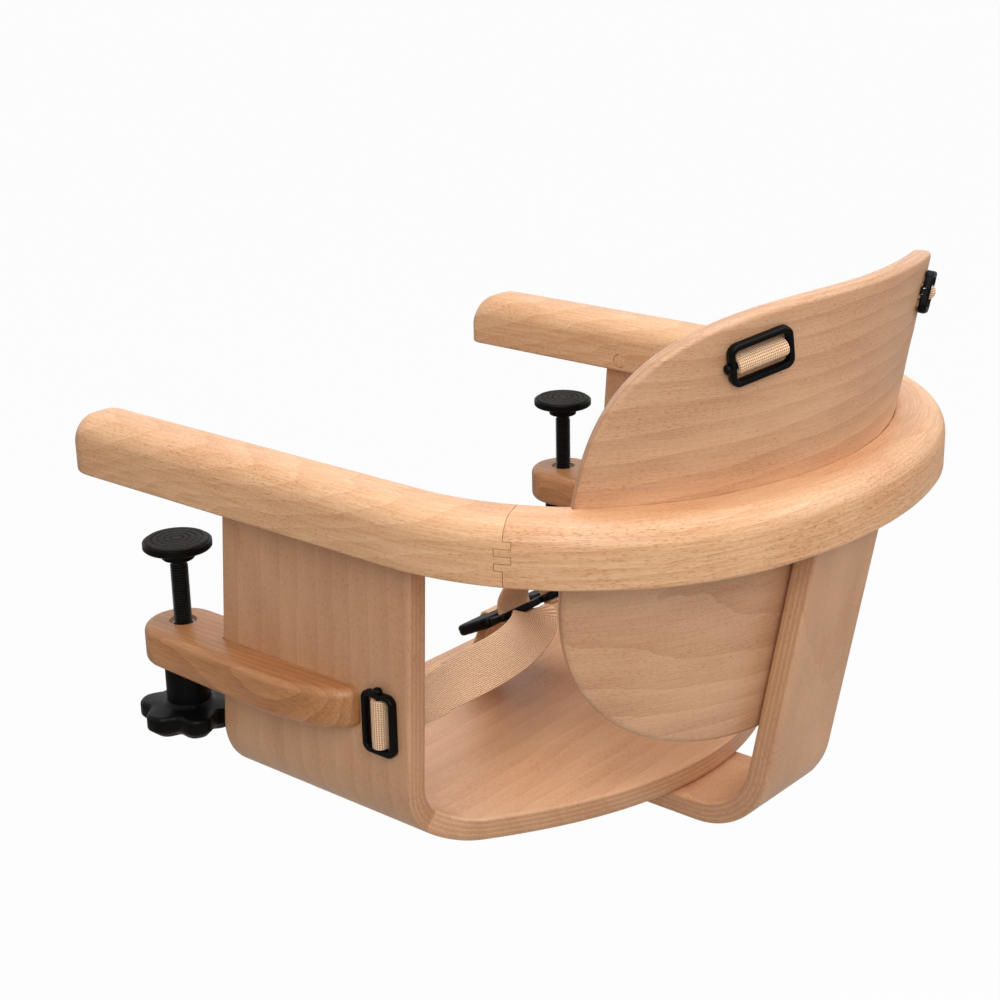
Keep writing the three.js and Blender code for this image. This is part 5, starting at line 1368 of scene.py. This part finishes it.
def harness_route(side, label):
    start, finish = (RETAINERS[f"{row}_retainer_{label}"][0] for row in ("side", "back"))
    upright, flat = np.array([0, 0, 1.0]), np.array([side, 0, 0.0])
    outward = direction_in(finish, side, 0, 0)
    under = -TONGUE_THICK / 2

    def on_buckle(y, z):
        return at_place(BUCKLE, (side * TONGUE_MIDDLE, y, z))[0]

    window = on_buckle(TONGUE_BAR_Y - TURN_RADIUS, 0)
    bend = [(on_buckle(TONGUE_BAR_Y - TURN_RADIUS * math.sin(a), under - TURN_RADIUS * math.cos(a)), flat)
            for a in arc(30, 90, 2)]
    arrival = at_place(finish, (0, 14, -BACK_PLY - 18))[0]

    leg = slot_leg(start, side, SHELL_PLY, upright)
    rise = [(window + (arrival - window) * [x, y, z], unit(flat + (outward - flat) * twist))
            for x, y, z, twist in SHOULDER]
    shoulder_leg = slot_leg(finish, 1, BACK_PLY, outward)[::-1]
    over = on_buckle(TONGUE_BAR_Y - TURN_RADIUS, WEB_THICK - under)
    shoulder = [(window, flat), (over, flat), *rise, (arrival, outward), shoulder_leg[0]]
    waist = smooth_run(waist_run(side, leg[-1][0], on_buckle), 32)
    run = leg[:-1] + waist + bend + smooth_run(shoulder, 28) + shoulder_leg[1:]
    first = sewn_tail(run, 2 * PIN_LOOP, SHELL_PLY, direction_in(start, 0, -side, 0))
    last = sewn_tail(run[::-1], 2 * PIN_LOOP, BACK_PLY, direction_in(finish, 0, -1, 0))
    return (first[::-1] + half_turn(start, PIN_LOOP, PIN_HEIGHT, -side, upright) + run
            + half_turn(finish, PIN_LOOP, PIN_HEIGHT, 1, outward) + last)

# %% Route of the crotch strap
def crotch_route():
    wide = np.array([1.0, 0, 0])
    place = RETAINERS["crotch_retainer"][0]
    bar = at_place(BUCKLE, (0, BUCKLE_BAR_Y, 0))[0]
    lean = bar - np.array([0, CROTCH_SLOT_Y, SHELL_BOTTOM + SHELL_PLY])
    lean[0] = 0
    bar_place = place_on(bar, wide, lean)
    leg = slot_leg(place, 1, SHELL_PLY, wide)
    top = [(at_place(bar_place, (0, -BAR_LOOP, h))[0], wide) for h in np.linspace(-WEB_WIDTH / 2, 0, 3)]
    run = leg[:-1] + smooth_run([leg[-1], ((leg[-1][0] + top[0][0]) / 2, wide), *top], 12)
    first = sewn_tail(run, 2 * PIN_LOOP, SHELL_PLY, direction_in(place, 0, -1, 0))
    last = sewn_tail(run[::-1], 2 * BAR_LOOP, 4, direction_in(bar_place, 0, 1, 0))
    # Its two tails share one short run, so each loses its last six places
    return (first[:-6][::-1] + half_turn(place, PIN_LOOP, PIN_HEIGHT, -1, wide) + run
            + half_turn(bar_place, BAR_LOOP, 0, -1, wide) + last[:-6])


print("places on a harness strap:", len(harness_route(1, "left")), "crotch strap:", len(crotch_route()))

# %% [markdown]
# The strip's section is a thin rectangle with rounded selvedges, made like the section of a
# moulded sheet. Its plank coordinates become the weave's: along the strap, across it and through.

# %% Straps
SELVEDGE = 0.9


def strap_piece(name, route):
    run = smooth_run(route, 4 * (len(route) - 1))
    flat = sheet_section(-WEB_WIDTH / 2, WEB_WIDTH / 2, WEB_THICK, SELVEDGE, 7) - [0, WEB_THICK / 2]
    rings, values, length = [], [], 0.0
    for i in range(len(run)):
        point, across, face = web_frame(run, i)
        length += np.linalg.norm(run[i][0] - run[i - 1][0]) if i else 0
        rings.append([point + across * u + face * d for u, d in flat])
        values += [(length, u, d) for u, d in flat]
    strap = make_piece(name, *skin(rings), sharp=50)
    lay_grain(strap, lambda points: values)
    return strap, length


for side, label in SIDES:
    strap, length = strap_piece(f"harness_webbing_{label}", harness_route(side, label))
    dress(strap, webbing, "webbing", "chair", f"harness_strap_{label}")
    print("harness strap", label, round(length), "mm")
strap, length = strap_piece("crotch_webbing", crotch_route())
dress(strap, webbing, "webbing", "chair", "crotch_strap")
print("crotch strap", round(length), "mm")

# %% [markdown]
# ## Screws in sight
# Each screw head is turned with a shallow cone and gets a cross recess from a small four-armed
# tool. The threaded shank is hidden in the wood and stays plain.

# %% Wood screws
def wood_screw(name, start, direction, length):
    place = place_on(start, RECESS_WAY, direction)
    profile = [(0, 0.15), (3.5, 0.15), (3.75, 0.3), (3.75, 0.7),
               (2.0, 2.5), (2.0, length - 4), (0.2, length - 0.2)]
    screw = turned_piece(name, profile, place, 36)
    arms = [box_tool((-x, -y, -1), (x, y, 1.7), place) for x, y in ((2.3, 0.45), (0.45, 2.3))]
    return cut_away(screw, *arms)


screw_names = ["bow_left", "bow_right", "back_upper", "back_lower", "bar_front_left", "bar_rear_left",
               "bar_front_right", "bar_rear_right", "strap_1", "strap_2", "strap_3", "strap_4"]
for name, screw in zip(screw_names, BOW_SCREWS + BACK_SCREWS + BAR_SCREWS + STRAP_SCREWS):
    group, _, rest = name.partition("_")
    piece = wood_screw(f"countersunk_{name}", *screw)
    dress(piece, zinc_plate, "zinc_steel", "chair", f"{group}_screw_{rest}")
print("screws in sight:", len(screw_names))

# %% [markdown]
# The four screws in the arms lie under their plugs, where no side shows them. Their plain solids
# stay in the model and only get the finish of zinc plate.

# %% The solids that stay
for name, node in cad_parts.items():
    if not node.hide_render:
        node.data.materials.clear()
        node.data.materials.append(zinc_plate)
        print("kept as it is:", name)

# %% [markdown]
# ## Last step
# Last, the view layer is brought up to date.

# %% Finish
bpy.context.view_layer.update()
